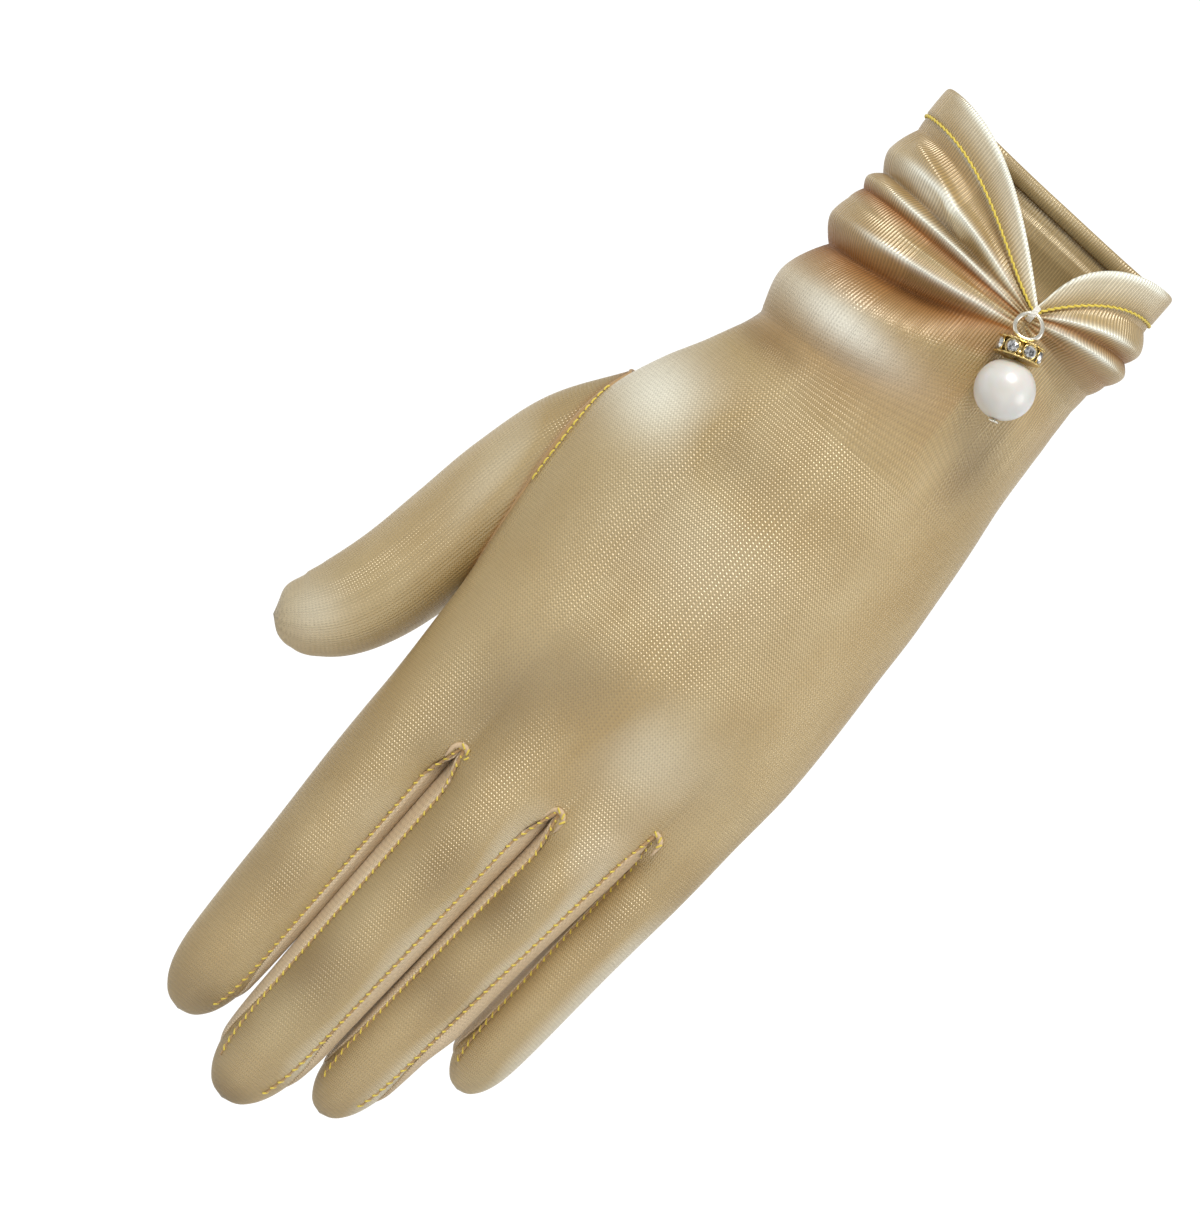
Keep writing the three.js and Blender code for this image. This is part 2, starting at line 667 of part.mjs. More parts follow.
const threadPath = threadCurve();
const threadHole = toSolid(closedTube(threadPath, threadDiameter / 2 + pieceGap, threadSteps, 8));

const trank = shell
  .subtract(joined(fingers.slice(0, -1).map((finger, i) => forkRegion(i, seamGap))))
  .subtract(thumbSolid(-clothWall))
  .subtract(threadHole);

// Materials and the finished assembly

const materials = {
  satin: new THREE.MeshStandardMaterial({ color: 0xcfb287, roughness: 0.42, metalness: 0.15 }),
  sidecloth: new THREE.MeshStandardMaterial({ color: 0xd9c79d, roughness: 0.5, metalness: 0.1 }),
  thread: new THREE.MeshStandardMaterial({ color: 0xf2efe6, roughness: 0.7, metalness: 0 }),
  gold: new THREE.MeshStandardMaterial({ color: 0xd8b45a, roughness: 0.25, metalness: 1 }),
  crystal: new THREE.MeshStandardMaterial({ color: 0xdfe4ea, roughness: 0.05, metalness: 0.1 }),
  pearl: new THREE.MeshStandardMaterial({ color: 0xf4f0ea, roughness: 0.25, metalness: 0.05 }),
};

const glove = new THREE.Group();

function addPiece(name, geometry, material) {
  const mesh = new THREE.Mesh(geometry, material);
  mesh.name = name;
  glove.add(mesh);
}

addPiece('trank', toGeometry(trank), materials.satin);
addPiece('thumb', toGeometry(thumb), materials.satin);
forks.forEach((fork) => addPiece(fork.name, toGeometry(fork.solid), materials.sidecloth));
addPiece('thread_tie', closedTube(threadPath, threadDiameter / 2, threadSteps, 6), materials.thread);
addPiece('head_pin', placed(toGeometry(pinSolid())), materials.gold);
addPiece('rondelle', placed(rondelleGeometry().translate(0, 0, rondelleMiddle)), materials.gold);
for (let stone = 0; stone < stoneCount; stone += 1) {
  const turn = (stone + 0.5) / stoneCount * Math.PI * 2 - Math.PI / 2;
  const geometry = stoneGeometry(turn).translate(0, 0, rondelleMiddle);
  addPiece(`stone_${stone + 1}`, placed(geometry), materials.crystal);
}
addPiece('pearl', placed(pearlGeometry()), materials.pearl);

export default glove;
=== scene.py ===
import math

import bmesh
import bpy
from mathutils import Matrix, Vector, noise


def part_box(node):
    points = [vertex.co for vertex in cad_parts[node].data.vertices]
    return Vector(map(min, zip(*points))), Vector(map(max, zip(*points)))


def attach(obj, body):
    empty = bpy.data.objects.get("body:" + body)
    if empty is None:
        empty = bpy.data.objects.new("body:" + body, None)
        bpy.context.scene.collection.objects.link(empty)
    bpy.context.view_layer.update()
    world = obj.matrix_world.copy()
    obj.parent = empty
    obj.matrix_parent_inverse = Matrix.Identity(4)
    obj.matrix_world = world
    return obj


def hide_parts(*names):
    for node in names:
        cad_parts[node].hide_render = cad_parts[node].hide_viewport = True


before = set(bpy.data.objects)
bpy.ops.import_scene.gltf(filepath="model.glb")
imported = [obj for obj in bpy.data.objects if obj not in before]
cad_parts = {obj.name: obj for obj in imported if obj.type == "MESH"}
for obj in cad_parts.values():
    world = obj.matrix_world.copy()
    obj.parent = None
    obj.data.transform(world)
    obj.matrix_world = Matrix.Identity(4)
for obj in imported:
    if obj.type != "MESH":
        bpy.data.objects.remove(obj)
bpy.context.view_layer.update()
print("frame loaded")

mm = 0.001


# Small helpers

def mix(a, b, share):
    return a + (b - a) * share


def smooth(value, low, high):
    share = min(max((value - low) / (high - low), 0.0), 1.0)
    return share * share * (3 - 2 * share)


def power(value, exponent):
    return math.copysign(abs(value) ** exponent, value)


def lookUp(table, place, name):
    rows, column = table["rows"], table["columns"].index(name)
    if place <= rows[0][0]:
        return rows[0][column]
    if place >= rows[-1][0]:
        return rows[-1][column]
    i = 0
    while rows[i + 1][0] < place:
        i += 1

    def slope(k):
        before, after = rows[max(k - 1, 0)], rows[min(k + 1, len(rows) - 1)]
        return (after[column] - before[column]) / (after[0] - before[0])

    span = rows[i + 1][0] - rows[i][0]
    t = (place - rows[i][0]) / span
    start, end = rows[i][column], rows[i + 1][column]
    rise, fall = slope(i) * span, slope(i + 1) * span
    return (start + t * rise + t * t * (3 * (end - start) - 2 * rise - fall)
            + t * t * t * (2 * (start - end) + rise + fall))


# The camera looks straight at the back of the hand and is rolled as the photograph is.

view = dict(target=(-0.0152, -0.008, -0.0961), right=(0.755, 0.0, 0.656), up=(-0.656, 0.0, 0.755),
            lens=300.0, height=0.2305, sensor=36.0)


def makeCamera():
    camera = bpy.data.objects.new("camera", bpy.data.cameras.new("camera"))
    bpy.context.scene.collection.objects.link(camera)
    camera.data.lens, camera.data.sensor_width = view["lens"], view["sensor"]
    distance = view["lens"] * view["height"] / view["sensor"]
    right, up = Vector(view["right"]).normalized(), Vector(view["up"]).normalized()
    turn = Matrix((right, up, right.cross(up))).transposed().to_4x4()
    camera.matrix_world = Matrix.Translation(Vector(view["target"]) + Vector((0, -distance, 0))) @ turn
    camera.data.clip_start, camera.data.clip_end = 0.01, 20
    bpy.context.scene.camera = camera


makeCamera()


# Materials

def addNode(tree, kind, inputs=None, **settings):
    node = tree.nodes.new(kind)
    for name, value in settings.items():
        setattr(node, name, value)
    for name, value in (inputs or {}).items():
        if isinstance(value, bpy.types.NodeSocket):
            tree.links.new(value, node.inputs[name])
        else:
            node.inputs[name].default_value = value
    return node


def calc(tree, operation, *values):
    return addNode(tree, "ShaderNodeMath", dict(enumerate(values)), operation=operation).outputs[0]


def blend(tree, share, a, b, kind="MIX"):
    node = tree.nodes.new("ShaderNodeMix")
    node.data_type, node.blend_type = "RGBA", kind
    for socket, value in ((node.inputs[0], share), (node.inputs[6], a), (node.inputs[7], b)):
        if isinstance(value, bpy.types.NodeSocket):
            tree.links.new(value, socket)
        else:
            socket.default_value = value
    return node.outputs[2]


def newMaterial(name, **inputs):
    material = bpy.data.materials.new(name)
    material.use_nodes = True
    shader = material.node_tree.nodes["Principled BSDF"]
    for key, value in inputs.items():
        shader.inputs[key.replace("_", " ")].default_value = value
    return material, material.node_tree, shader


def tone(red, green, blue):
    return (red, green, blue, 1.0)


def objectPlace(tree):
    return addNode(tree, "ShaderNodeTexCoord").outputs["Object"]


def noiseOf(tree, place, scale, detail=2.0):
    return addNode(tree, "ShaderNodeTexNoise", {0: place, "Scale": scale, "Detail": detail}).outputs[0]


def clamped(tree, value):
    return addNode(tree, "ShaderNodeClamp", {0: value}).outputs[0]


def addRelief(tree, shader, height, distance):
    bump = addNode(tree, "ShaderNodeBump", {"Height": height, "Distance": distance})
    tree.links.new(bump.outputs[0], shader.inputs["Normal"])


def ripple(tree, value, pitch, shift=0.0):
    turn = calc(tree, "MULTIPLY", value, 2 * math.pi / pitch)
    return calc(tree, "SINE", calc(tree, "ADD", turn, shift))


knitForm = dict(sharpness=0.35, lean=0.9, rowShare=0.3, stitchShare=0.7)


def knitHeight(tree, across, along, rowPitch, stitchPitch):
    rows = ripple(tree, along, rowPitch)
    lean = calc(tree, "MULTIPLY", calc(tree, "ARCTAN2", rows, knitForm["sharpness"]), knitForm["lean"])
    body = calc(tree, "MULTIPLY", ripple(tree, across, stitchPitch, lean), calc(tree, "ABSOLUTE", rows))
    return calc(tree, "ADD", calc(tree, "MULTIPLY", rows, knitForm["rowShare"]),
                calc(tree, "MULTIPLY", body, knitForm["stitchShare"]))


# Kept at the cloth's points, in this order: the painted shade of folds, creases and joins; hem (knit to ribs); and
# shade, which is painted shade, or painted highlight below nothing.
clothShades = ("groove", "hem", "shade")
clothLook = dict(cloudStretch=(1.0, 1.0, 0.45), cloudScale=70.0, cloudDetail=3.0, cloudContrast=(2.6, -0.8),
                 blotchScale=22.0, blotchContrast=(3.0, -1.35), coolShare=0.35, grainScale=1400.0,
                 grainRange=(0.16, 0.92), grooveShare=0.95, grooveRough=0.15, gleam=(-0.6, 0.75),
                 heightRough=-0.06, sheenRough=0.4, sheenTint=tone(1.0, 0.9, 0.7), specularTint=tone(1.0, 0.94, 0.8))


def clothMaterial(name, cloth):
    material, tree, shader = newMaterial(
        name, Roughness=cloth["roughness"], Metallic=cloth["metallic"], Anisotropic=cloth["stretch"],
        Sheen_Weight=cloth["sheen"], Sheen_Roughness=clothLook["sheenRough"], IOR=cloth["gloss"],
        Sheen_Tint=clothLook["sheenTint"], Specular_Tint=clothLook["specularTint"])
    uv = addNode(tree, "ShaderNodeUVMap", uv_map="cloth").outputs[0]
    across, along = addNode(tree, "ShaderNodeSeparateXYZ", {0: uv}).outputs[:2]
    groove, hem, shade = (addNode(tree, "ShaderNodeAttribute", attribute_name=key).outputs["Fac"]
                          for key in clothShades)
    place = objectPlace(tree)
    stretched = addNode(tree, "ShaderNodeMapping", {0: place, "Scale": clothLook["cloudStretch"]}).outputs[0]
    clouds = noiseOf(tree, stretched, clothLook["cloudScale"], clothLook["cloudDetail"])
    blotches, grain = noiseOf(tree, place, clothLook["blotchScale"]), noiseOf(tree, place, clothLook["grainScale"])
    knit = knitHeight(tree, across, along, cloth["rowPitch"], cloth["stitchPitch"])
    ribs = ripple(tree, across, cloth["ribPitch"])
    height = addNode(tree, "ShaderNodeMix", {0: hem, 2: knit, 3: ribs}).outputs[0]
    soft = clamped(tree, calc(tree, "MULTIPLY_ADD", clouds, *clothLook["cloudContrast"]))
    color = blend(tree, soft, cloth["shade"], cloth["color"])
    cool = clamped(tree, calc(tree, "MULTIPLY_ADD", blotches, *clothLook["blotchContrast"]))
    color = blend(tree, calc(tree, "MULTIPLY", cool, clothLook["coolShare"]), color, cloth["cool"])
    # Painted light: where the shade value is above nothing it mixes in the painted-shade colour, below nothing the
    # painted-highlight colour.
    dark, paintedHighlight = clamped(tree, shade), clamped(tree, calc(tree, "MULTIPLY", shade, -1.0))
    color = blend(tree, paintedHighlight, blend(tree, dark, color, cloth["dark"]), cloth["paintedHighlight"])
    # Painted shade: the groove value mixes in the deep colour in folds, creases and where pieces meet.
    color = blend(tree, calc(tree, "MULTIPLY", groove, clothLook["grooveShare"]), color, cloth["deep"])
    speckle = calc(tree, "ADD", calc(tree, "MULTIPLY", height, cloth["knitShade"]),
                   calc(tree, "MULTIPLY_ADD", grain, *clothLook["grainRange"]))
    dots = addNode(tree, "ShaderNodeCombineColor", {0: speckle, 1: speckle, 2: speckle}).outputs[0]
    color = blend(tree, 1.0, color, dots, "MULTIPLY")
    tree.links.new(color, shader.inputs["Base Color"])
    gleam = calc(tree, "MULTIPLY_ADD", groove, *clothLook["gleam"])
    tree.links.new(gleam, shader.inputs["Specular IOR Level"])
    rough = calc(tree, "MULTIPLY_ADD", height, clothLook["heightRough"], cloth["roughness"])
    rough = calc(tree, "ADD", rough, calc(tree, "MULTIPLY", groove, clothLook["grooveRough"]))
    tree.links.new(rough, shader.inputs["Roughness"])
    addRelief(tree, shader, height, cloth["relief"])
    tangent = addNode(tree, "ShaderNodeTangent", direction_type="UV_MAP", uv_map="cloth")
    tree.links.new(tangent.outputs[0], shader.inputs["Tangent"])
    return material


# Of these colours, deep is the painted shade of grooves, the next the painted shade of darker zones and the last a
# painted highlight and reflection; the first three vary at random.
satin = clothMaterial("satin", dict(
    color=tone(0.5, 0.37, 0.175), shade=tone(0.4, 0.265, 0.095), cool=tone(0.44, 0.37, 0.2),
    deep=tone(0.3, 0.105, 0.02), dark=tone(0.22, 0.13, 0.03), paintedHighlight=tone(0.97, 0.96, 0.82),
    roughness=0.33, metallic=0.12, gloss=1.95, stretch=0.4, sheen=0.1,
    rowPitch=0.76 * mm, stitchPitch=0.6 * mm, ribPitch=0.7 * mm, relief=0.07 * mm, knitShade=0.2))
# Of these colours, deep is the painted shade where the strips meet the hand between the fingers, the next painted
# shade and the last a painted highlight.
sideCloth = clothMaterial("sideCloth", dict(
    color=tone(0.7, 0.56, 0.38), shade=tone(0.6, 0.44, 0.26), cool=tone(0.64, 0.53, 0.36),
    deep=tone(0.24, 0.1, 0.03), dark=tone(0.36, 0.22, 0.08), paintedHighlight=tone(0.74, 0.66, 0.46),
    roughness=0.48, metallic=0.05, gloss=1.6, stretch=0.3, sheen=0.2,
    rowPitch=0.8 * mm, stitchPitch=0.6 * mm, ribPitch=0.9 * mm, relief=0.08 * mm, knitShade=0.15))


def threadMaterial(name, color, shade):
    material, tree, shader = newMaterial(name, Roughness=0.55, Sheen_Weight=0.3)
    fibres = noiseOf(tree, objectPlace(tree), scale=3500.0, detail=3.0)
    tree.links.new(blend(tree, fibres, shade, color), shader.inputs["Base Color"])
    addRelief(tree, shader, fibres, distance=0.05 * mm)
    return material


seamThread = threadMaterial("seamThread", tone(0.82, 0.68, 0.1), tone(0.66, 0.47, 0.05))
seamRoll = threadMaterial("seamRoll", tone(0.5, 0.33, 0.15), tone(0.36, 0.2, 0.07))
paleRoll = threadMaterial("paleRoll", tone(0.72, 0.56, 0.38), tone(0.52, 0.35, 0.18))
whiteThread = threadMaterial("whiteThread", tone(0.9, 0.88, 0.82), tone(0.7, 0.67, 0.6))


jewelLook = dict(wearRough=(0.25, 0.1), glintRange=(0.35, 0.6), glintDark=tone(0.1, 0.1, 0.1),
                 glintPale=tone(0.95, 0.95, 0.94), pearlDark=tone(0.58, 0.55, 0.48), pearlPale=tone(0.8, 0.8, 0.79))


def goldMaterial(name, low, high):
    material, tree, shader = newMaterial(name, Roughness=0.2, Metallic=1.0)
    wear = noiseOf(tree, objectPlace(tree), scale=900.0, detail=3.0)
    tree.links.new(blend(tree, wear, low, high), shader.inputs["Base Color"])
    tree.links.new(calc(tree, "MULTIPLY_ADD", wear, *jewelLook["wearRough"]), shader.inputs["Roughness"])
    return material


def crystalMaterial():
    material, tree, shader = newMaterial("crystal", Roughness=0.02, IOR=1.9, Metallic=0.8, Transmission_Weight=0.2,
                                         Coat_Weight=0.6)
    low, high = jewelLook["glintRange"]
    glints = noiseOf(tree, objectPlace(tree), scale=1500.0)
    glints = addNode(tree, "ShaderNodeMapRange", {0: glints, 1: low, 2: high}).outputs[0]
    color = blend(tree, glints, jewelLook["glintDark"], jewelLook["glintPale"])
    tree.links.new(color, shader.inputs["Base Color"])
    return material


def pearlMaterial():
    material, tree, shader = newMaterial(
        "pearl", Roughness=0.32, Specular_IOR_Level=0.9, Coat_Weight=0.6, Coat_Roughness=0.2,
        Subsurface_Weight=0.25, Subsurface_Scale=0.002, Sheen_Weight=0.15)
    cloud = noiseOf(tree, objectPlace(tree), scale=160.0)
    color = blend(tree, cloud, jewelLook["pearlDark"], jewelLook["pearlPale"])
    tree.links.new(color, shader.inputs["Base Color"])
    addRelief(tree, shader, cloud, distance=0.03 * mm)
    return material


gold = goldMaterial("gold", tone(0.72, 0.5, 0.16), tone(0.95, 0.78, 0.38))
paleGold = goldMaterial("paleGold", tone(0.88, 0.83, 0.68), tone(0.98, 0.96, 0.88))
crystal, pearlSkin = crystalMaterial(), pearlMaterial()
print("materials made")


# The hand's form, as in the frame's solids

hand = dict(cuffHeight=0.022, palmLength=0.131, wristWidth=0.060, wristThickness=0.038, palmWidth=0.076,
            palmThickness=0.029, gatherAngle=math.radians(71.6), foldRise=0.0023, frontFoldGain=0.75,
            palmFoldFade=0.7, forkStart=0.72, hemRise=0.00045)

handSections = dict(columns=("level", "wrist", "left", "right", "back", "palm", "square"), rows=(
    (-1.1, 1.0, 0.975, 0.955, 0.52, 0.53, 2.3),
    (-0.5, 1.0, 0.98, 0.955, 0.5, 0.51, 2.3),
    (0.0, 1.0, 0.98, 0.96, 0.49, 0.5, 2.3),
    (0.12, 1.0, 0.965, 0.965, 0.49, 0.49, 2.3),
    (0.2, 1.0, 0.975, 0.985, 0.48, 0.48, 2.3),
    (0.26, 0.95, 0.97, 1.0, 0.46, 0.48, 2.3),
    (0.33, 0.6, 0.99, 0.955, 0.49, 0.52, 2.35),
    (0.4, 0.25, 1.04, 0.91, 0.52, 0.56, 2.4),
    (0.47, 0.0, 1.075, 0.885, 0.53, 0.59, 2.4),
    (0.55, 0.0, 1.11, 0.9, 0.51, 0.58, 2.4),
    (0.62, 0.0, 1.105, 0.92, 0.49, 0.55, 2.4),
    (0.69, 0.0, 1.07, 0.934, 0.47, 0.5, 2.4),
    (0.77, 0.0, 1.03, 0.938, 0.45, 0.45, 2.4),
    (0.83, 0.0, 1.005, 0.932, 0.42, 0.41, 2.5),
    (0.9, 0.0, 0.99, 0.92, 0.36, 0.37, 2.5),
    (1.0, 0.0, 0.96, 0.89, 0.3, 0.31, 2.5),
    (1.1, 0.0, 0.94, 0.87, 0.28, 0.28, 2.5),
))

forkLine = dict(columns=("across", "climb"), rows=(
    (-1.0, -0.024), (-0.48, -0.022), (0.14, 0.0), (0.62, 0.073), (1.0, 0.085),
))

# Heights as shares of the cuff, rises as shares of a full fold, shade is the painted shade that makes the fold's
# groove look deep.
foldRows = dict(columns=("left", "middle", "right", "leftBow", "rightBow", "leftRise", "rightRise",
                         "leftShade", "rightShade"), rows=(
    (0.975, 0.0, 0.86, 1.0, 0.36, 0.1, 0.0, 0.0, 0.0),
    (0.7, -0.018, 0.587, 1.25, 0.85, 0.0, 0.0, 0.15, 0.15),
    (0.56, -0.032, 0.51, 1.2, 0.9, -0.15, 0.1, 0.25, 0.2),
    (0.276, -0.05, 0.337, 1.1, 0.95, 0.6, 1.05, 0.0, 0.0),
    (0.08, -0.068, 0.2, 1.2, 1.0, -0.35, 0.55, 0.35, 0.85),
    (-0.03, -0.09, 0.1, 1.0, 1.0, 0.55, 1.25, 0.0, 0.0),
    (-0.13, -0.115, -0.06, 1.0, 1.0, 0.1, 0.5, 1.0, 0.6),
    (-0.28, -0.14, -0.22, 1.0, 1.0, 0.6, -0.1, 0.15, 0.3),
    (-0.46, -0.17, -0.42, 1.0, 1.0, 0.95, -0.2, 0.2, 0.0),
    (-0.69, -0.25, -0.7, 1.0, 1.0, -0.6, -0.1, 1.0, 0.15),
    (-1.12, -0.56, -1.06, 1.0, 1.0, 0.95, 0.05, 0.15, 0.0),
    (-1.52, -1.04, -1.5, 1.0, 1.0, -0.15, 0.0, 0.4, 0.0),
    (-1.95, -1.95, -1.95, 1.0, 1.0, 0.0, 0.0, 0.0, 0.0),
))

fingers = dict(length=0.0834, width=0.0188, thickness=0.0164, square=2.25, seamAngle=math.radians(38),
               gap=0.84 * mm, bulge=0.95 * mm, apart=(0.68, 0.86, 0.9), apartFade=(0.12, 0.08), table=(
    dict(name="index", across=-0.722, lean=0.085, bow=0.0, reach=0.911, width=1.0, sink=0.05, curl=0.2),
    dict(name="middle", across=-0.165, lean=-0.11, bow=0.0, reach=1.0, width=1.07, sink=-0.05, curl=0.24),
    dict(name="ring", across=0.355, lean=-0.3, bow=-0.01, reach=0.881, width=0.83, sink=-0.02, curl=0.46),
    dict(name="little", across=0.722, lean=-0.14, bow=-0.02, reach=0.636, width=0.7, sink=0.33, curl=0.36),
))

fingerProfile = dict(columns=("along", "wide", "deep"), rows=(
    (-0.36, 1.0, 1.0), (-0.1, 1.0, 1.0), (0.15, 0.985, 0.98), (0.45, 0.935, 0.92), (0.7, 0.89, 0.86),
    (0.82, 0.845, 0.8), (0.89, 0.765, 0.71), (0.94, 0.63, 0.58), (0.975, 0.44, 0.41), (0.992, 0.25, 0.23),
    (1.0, 0.0, 0.0),
))


def handSection(z):
    level = -z / (hand["cuffHeight"] if z > 0 else hand["palmLength"])
    at = {name: lookUp(handSections, level, name) for name in handSections["columns"][1:]}
    halfWidth = mix(hand["palmWidth"], hand["wristWidth"], at["wrist"]) / 2
    thickness = mix(hand["palmThickness"], hand["wristThickness"], at["wrist"])
    return dict(left=at["left"] * halfWidth, right=at["right"] * halfWidth,
                back=at["back"] * thickness, palm=at["palm"] * thickness, square=at["square"])


def reaches(section, x, y):
    return section["right"] if x > 0 else section["left"], section["back"] if y < 0 else section["palm"]


def ovalPoint(section, angle):
    across, towardsBack = math.cos(angle), math.sin(angle)
    width, depth = reaches(section, across, -towardsBack)
    x, y = power(across, 2 / section["square"]), -power(towardsBack, 2 / section["square"])
    out = Vector((power(x, section["square"] - 1) / width, power(y, section["square"] - 1) / depth, 0))
    return Vector((x * width, y * depth, 0)), out.normalized()


def forkHeight(x):
    return hand["palmLength"] * (lookUp(forkLine, 2 * x / hand["palmWidth"], "climb") - 1)


wristSection = handSection(0)
gatherX = ovalPoint(wristSection, hand["gatherAngle"])[0].x


def aroundWrist(angle):
    turn = angle % (2 * math.pi)
    x = ovalPoint(wristSection, turn)[0].x
    if turn > math.pi:
        return "palm", turn / math.pi - 1
    if turn >= hand["gatherAngle"]:
        return "left", (gatherX - x) / (gatherX + wristSection["left"])
    return "right", (x - gatherX) / (wristSection["right"] - gatherX)


def foldRowsAt(angle):
    side, share = aroundWrist(angle)
    found = []
    for row in foldRows["rows"]:
        at = dict(zip(foldRows["columns"], row))
        if side == "palm":
            ease = smooth(share, 0, 1)
            fade = 1 - hand["palmFoldFade"] * math.sin(math.pi * share)
            found.append((mix(at["left"], at["right"], ease) * hand["cuffHeight"],
                          mix(at["leftRise"], at["rightRise"], ease) * hand["foldRise"] * fade,
                          mix(at["leftShade"], at["rightShade"], ease) * fade))
        else:
            climb = math.sin(share * math.pi / 2) ** at[side + "Bow"]
            gain = smooth(share, 0, 0.5) * (1 + hand["frontFoldGain"] * math.sin(math.pi * share))
            found.append((mix(at["middle"], at[side], climb) * hand["cuffHeight"],
                          at[side + "Rise"] * hand["foldRise"] * gain,
                          at[side + "Shade"] * mix(0.7, 1.0, smooth(share, 0, 0.3))))
    return found, side, share


# Pairs give where something starts and where it is full, in rows or in shares of the way round.
folds = dict(soft=1.7, sharp=1.9, shadePower=1.2, roundedShare=(0.5, 0.92), roundedRow=(8.4, 9.4),
             ribsEnd=(8, 12), gatherFade=(0.0, 0.2), hemRow=(1.0, 0.93))
# Painted highlights: pale lines along the fold ridges, the hem line and the top edge, and a paler band on the hem
# panel.
crestHighlight = dict(depth=1.3, width=0.7 * mm, full=1.4 * mm, lastRow=9, hem=0.7, hemRow=1.12, hemReach=0.12,
             edgeReach=0.1, band=0.34, bandFade=(-0.85, -0.25), endFade=(-1.0, -0.6), sideFade=(-1.0, -0.8))
pleats = dict(height=0.24 * mm, perRow=1.0, reach=0.24, shade=0.9, start=(0.0, 0.06), firstRow=(0.6, 1.6),
              lastRow=(11, 8))
lip = dict(radius=0.6 * mm, height=0.8 * mm, turnedIn=2.6 * mm, lean=0.6 * mm, along=2 * mm)
foldCache = {}


# A point of the hem's rounded lip: 0 is the outer top edge, 1 the inner one and 2 the end of the turned-in edge.
def lipPoint(angle, share):
    found = cuffPoint(angle, 0.0)
    out = ovalPoint(handSection(found["at"].z), angle)[1]
    swing = min(share, 1.0) * math.pi
    found["at"] = found["at"] + out * (lip["radius"] * (math.cos(swing) - 1) - lip["lean"] * max(share - 1, 0))
    found["at"].z += math.sin(swing) * lip["height"] - max(share - 1, 0) * lip["turnedIn"]
    found["along"] += share * lip["along"]
    return found


# A point of the cuff: row 0 is the top edge, 1 the hem line and 12 the end of the folds.
def cuffPoint(angle, row):
    if row < 0:
        return lipPoint(angle, -row)
    if angle not in foldCache:
        foldCache[angle] = foldRowsAt(angle)
    rows, side, share = foldCache[angle]
    i = min(int(row), len(rows) - 2)
    t = row - i
    (z0, rise0, shade0), (z1, rise1, shade1) = rows[i], rows[i + 1]
    isPalm = side == "palm"
    rounded = 1.0 if isPalm else max(smooth(share, *folds["roundedShare"]), smooth(row, *folds["roundedRow"]))
    soft, sharp = t ** folds["soft"], 1 - (1 - t) ** folds["sharp"]
    if rise0 < rise1:
        soft, sharp = 1 - (1 - t) ** folds["soft"], t ** folds["sharp"]
    z, rise = mix(z0, z1, t), mix(rise0, rise1, mix(sharp, soft, rounded))
    near = 1.0 if isPalm else smooth(share, *folds["gatherFade"])
    rise += hand["hemRise"] * near * smooth(row, *folds["hemRow"])
    # Painted shade in the fold grooves from the table, and below it in the pleats' valleys.
    shade = mix(shade0, shade1, t) ** folds["shadePower"]
    if not isPalm:
        pull = math.exp(-share / pleats["reach"]) * smooth(share, *pleats["start"])
        pull *= smooth(row, *pleats["firstRow"]) * smooth(row, *pleats["lastRow"])
        wave = math.sin(2 * math.pi * pleats["perRow"] * row)
        rise += pleats["height"] * wave * pull
        shade += pleats["shade"] * max(-wave, 0.0) * pull
    point, out = ovalPoint(handSection(z), angle)
    point += out * rise
    point.z = z
    nominal = mix(foldRows["rows"][i][0], foldRows["rows"][i + 1][0], t) * hand["cuffHeight"]
    ribbed = 1 - smooth(row, *folds["ribsEnd"])
    # Painted highlights on the hem line, the top edge, the hem panel and the fold ridges.
    hemLine = math.exp(-((row - crestHighlight["hemRow"]) / crestHighlight["hemReach"]) ** 2)
    paintedHighlight = crestHighlight["hem"] * (hemLine + math.exp(-(row / crestHighlight["edgeReach"]) ** 2))
    paintedHighlight += crestHighlight["band"] * smooth(-row, *crestHighlight["bandFade"])
    for k, away in ((i, t), (i + 1, 1 - t)):
        if 1 < k < crestHighlight["lastRow"] and rows[k][1] > max(rows[k - 1][1], rows[k + 1][1]):
            height = rows[k][1] - min(rows[k - 1][1], rows[k + 1][1])
            strength = min(height / crestHighlight["full"], 1.0) * smooth(-share, *crestHighlight["endFade"])
            paintedHighlight += crestHighlight["depth"] * strength * math.exp(-(away * abs(z1 - z0) / crestHighlight["width"]) ** 2)
    paintedHighlight *= 0.0 if isPalm else smooth(-share, *crestHighlight["sideFade"])
    return dict(at=point, along=nominal, groove=min(shade, 1.0), hem=ribbed, crestHighlight=-paintedHighlight)


def palmPoint(angle, level):
    section = handSection(-level * hand["palmLength"])
    point, out = ovalPoint(section, angle)
    climb = lookUp(forkLine, 2 * point.x / hand["palmWidth"], "climb")
    point.z = hand["palmLength"] * (smooth(level, hand["forkStart"], 1) * climb - level)
    return dict(at=point, along=point.z, groove=0.0, hem=0.0)


def fingerPoint(finger, angle, z):
    along = (-hand["palmLength"] - z) / (finger["reach"] * fingers["length"])
    shift, sink = finger["lean"] * along, finger["sink"] * (1 + 2 * max(along, -0.5))
    if along > 0:
        shift += finger["bow"] * 4 * along * (1 - along)
        sink = finger["sink"] + finger["curl"] * along ** 2
    wide, deep = lookUp(fingerProfile, along, "wide"), lookUp(fingerProfile, along, "deep")
    halfWidth = finger["width"] * fingers["width"] / 2 * wide
    halfDepth = (0.5 + finger["width"] / 2) * fingers["thickness"] / 2 * deep
    x = power(math.cos(angle), 2 / fingers["square"]) * halfWidth
    y = -power(math.sin(angle), 2 / fingers["square"]) * halfDepth
    return Vector((finger["across"] * hand["palmWidth"] / 2 + shift * fingers["width"] + x,
                   sink * fingers["thickness"] + y, z))


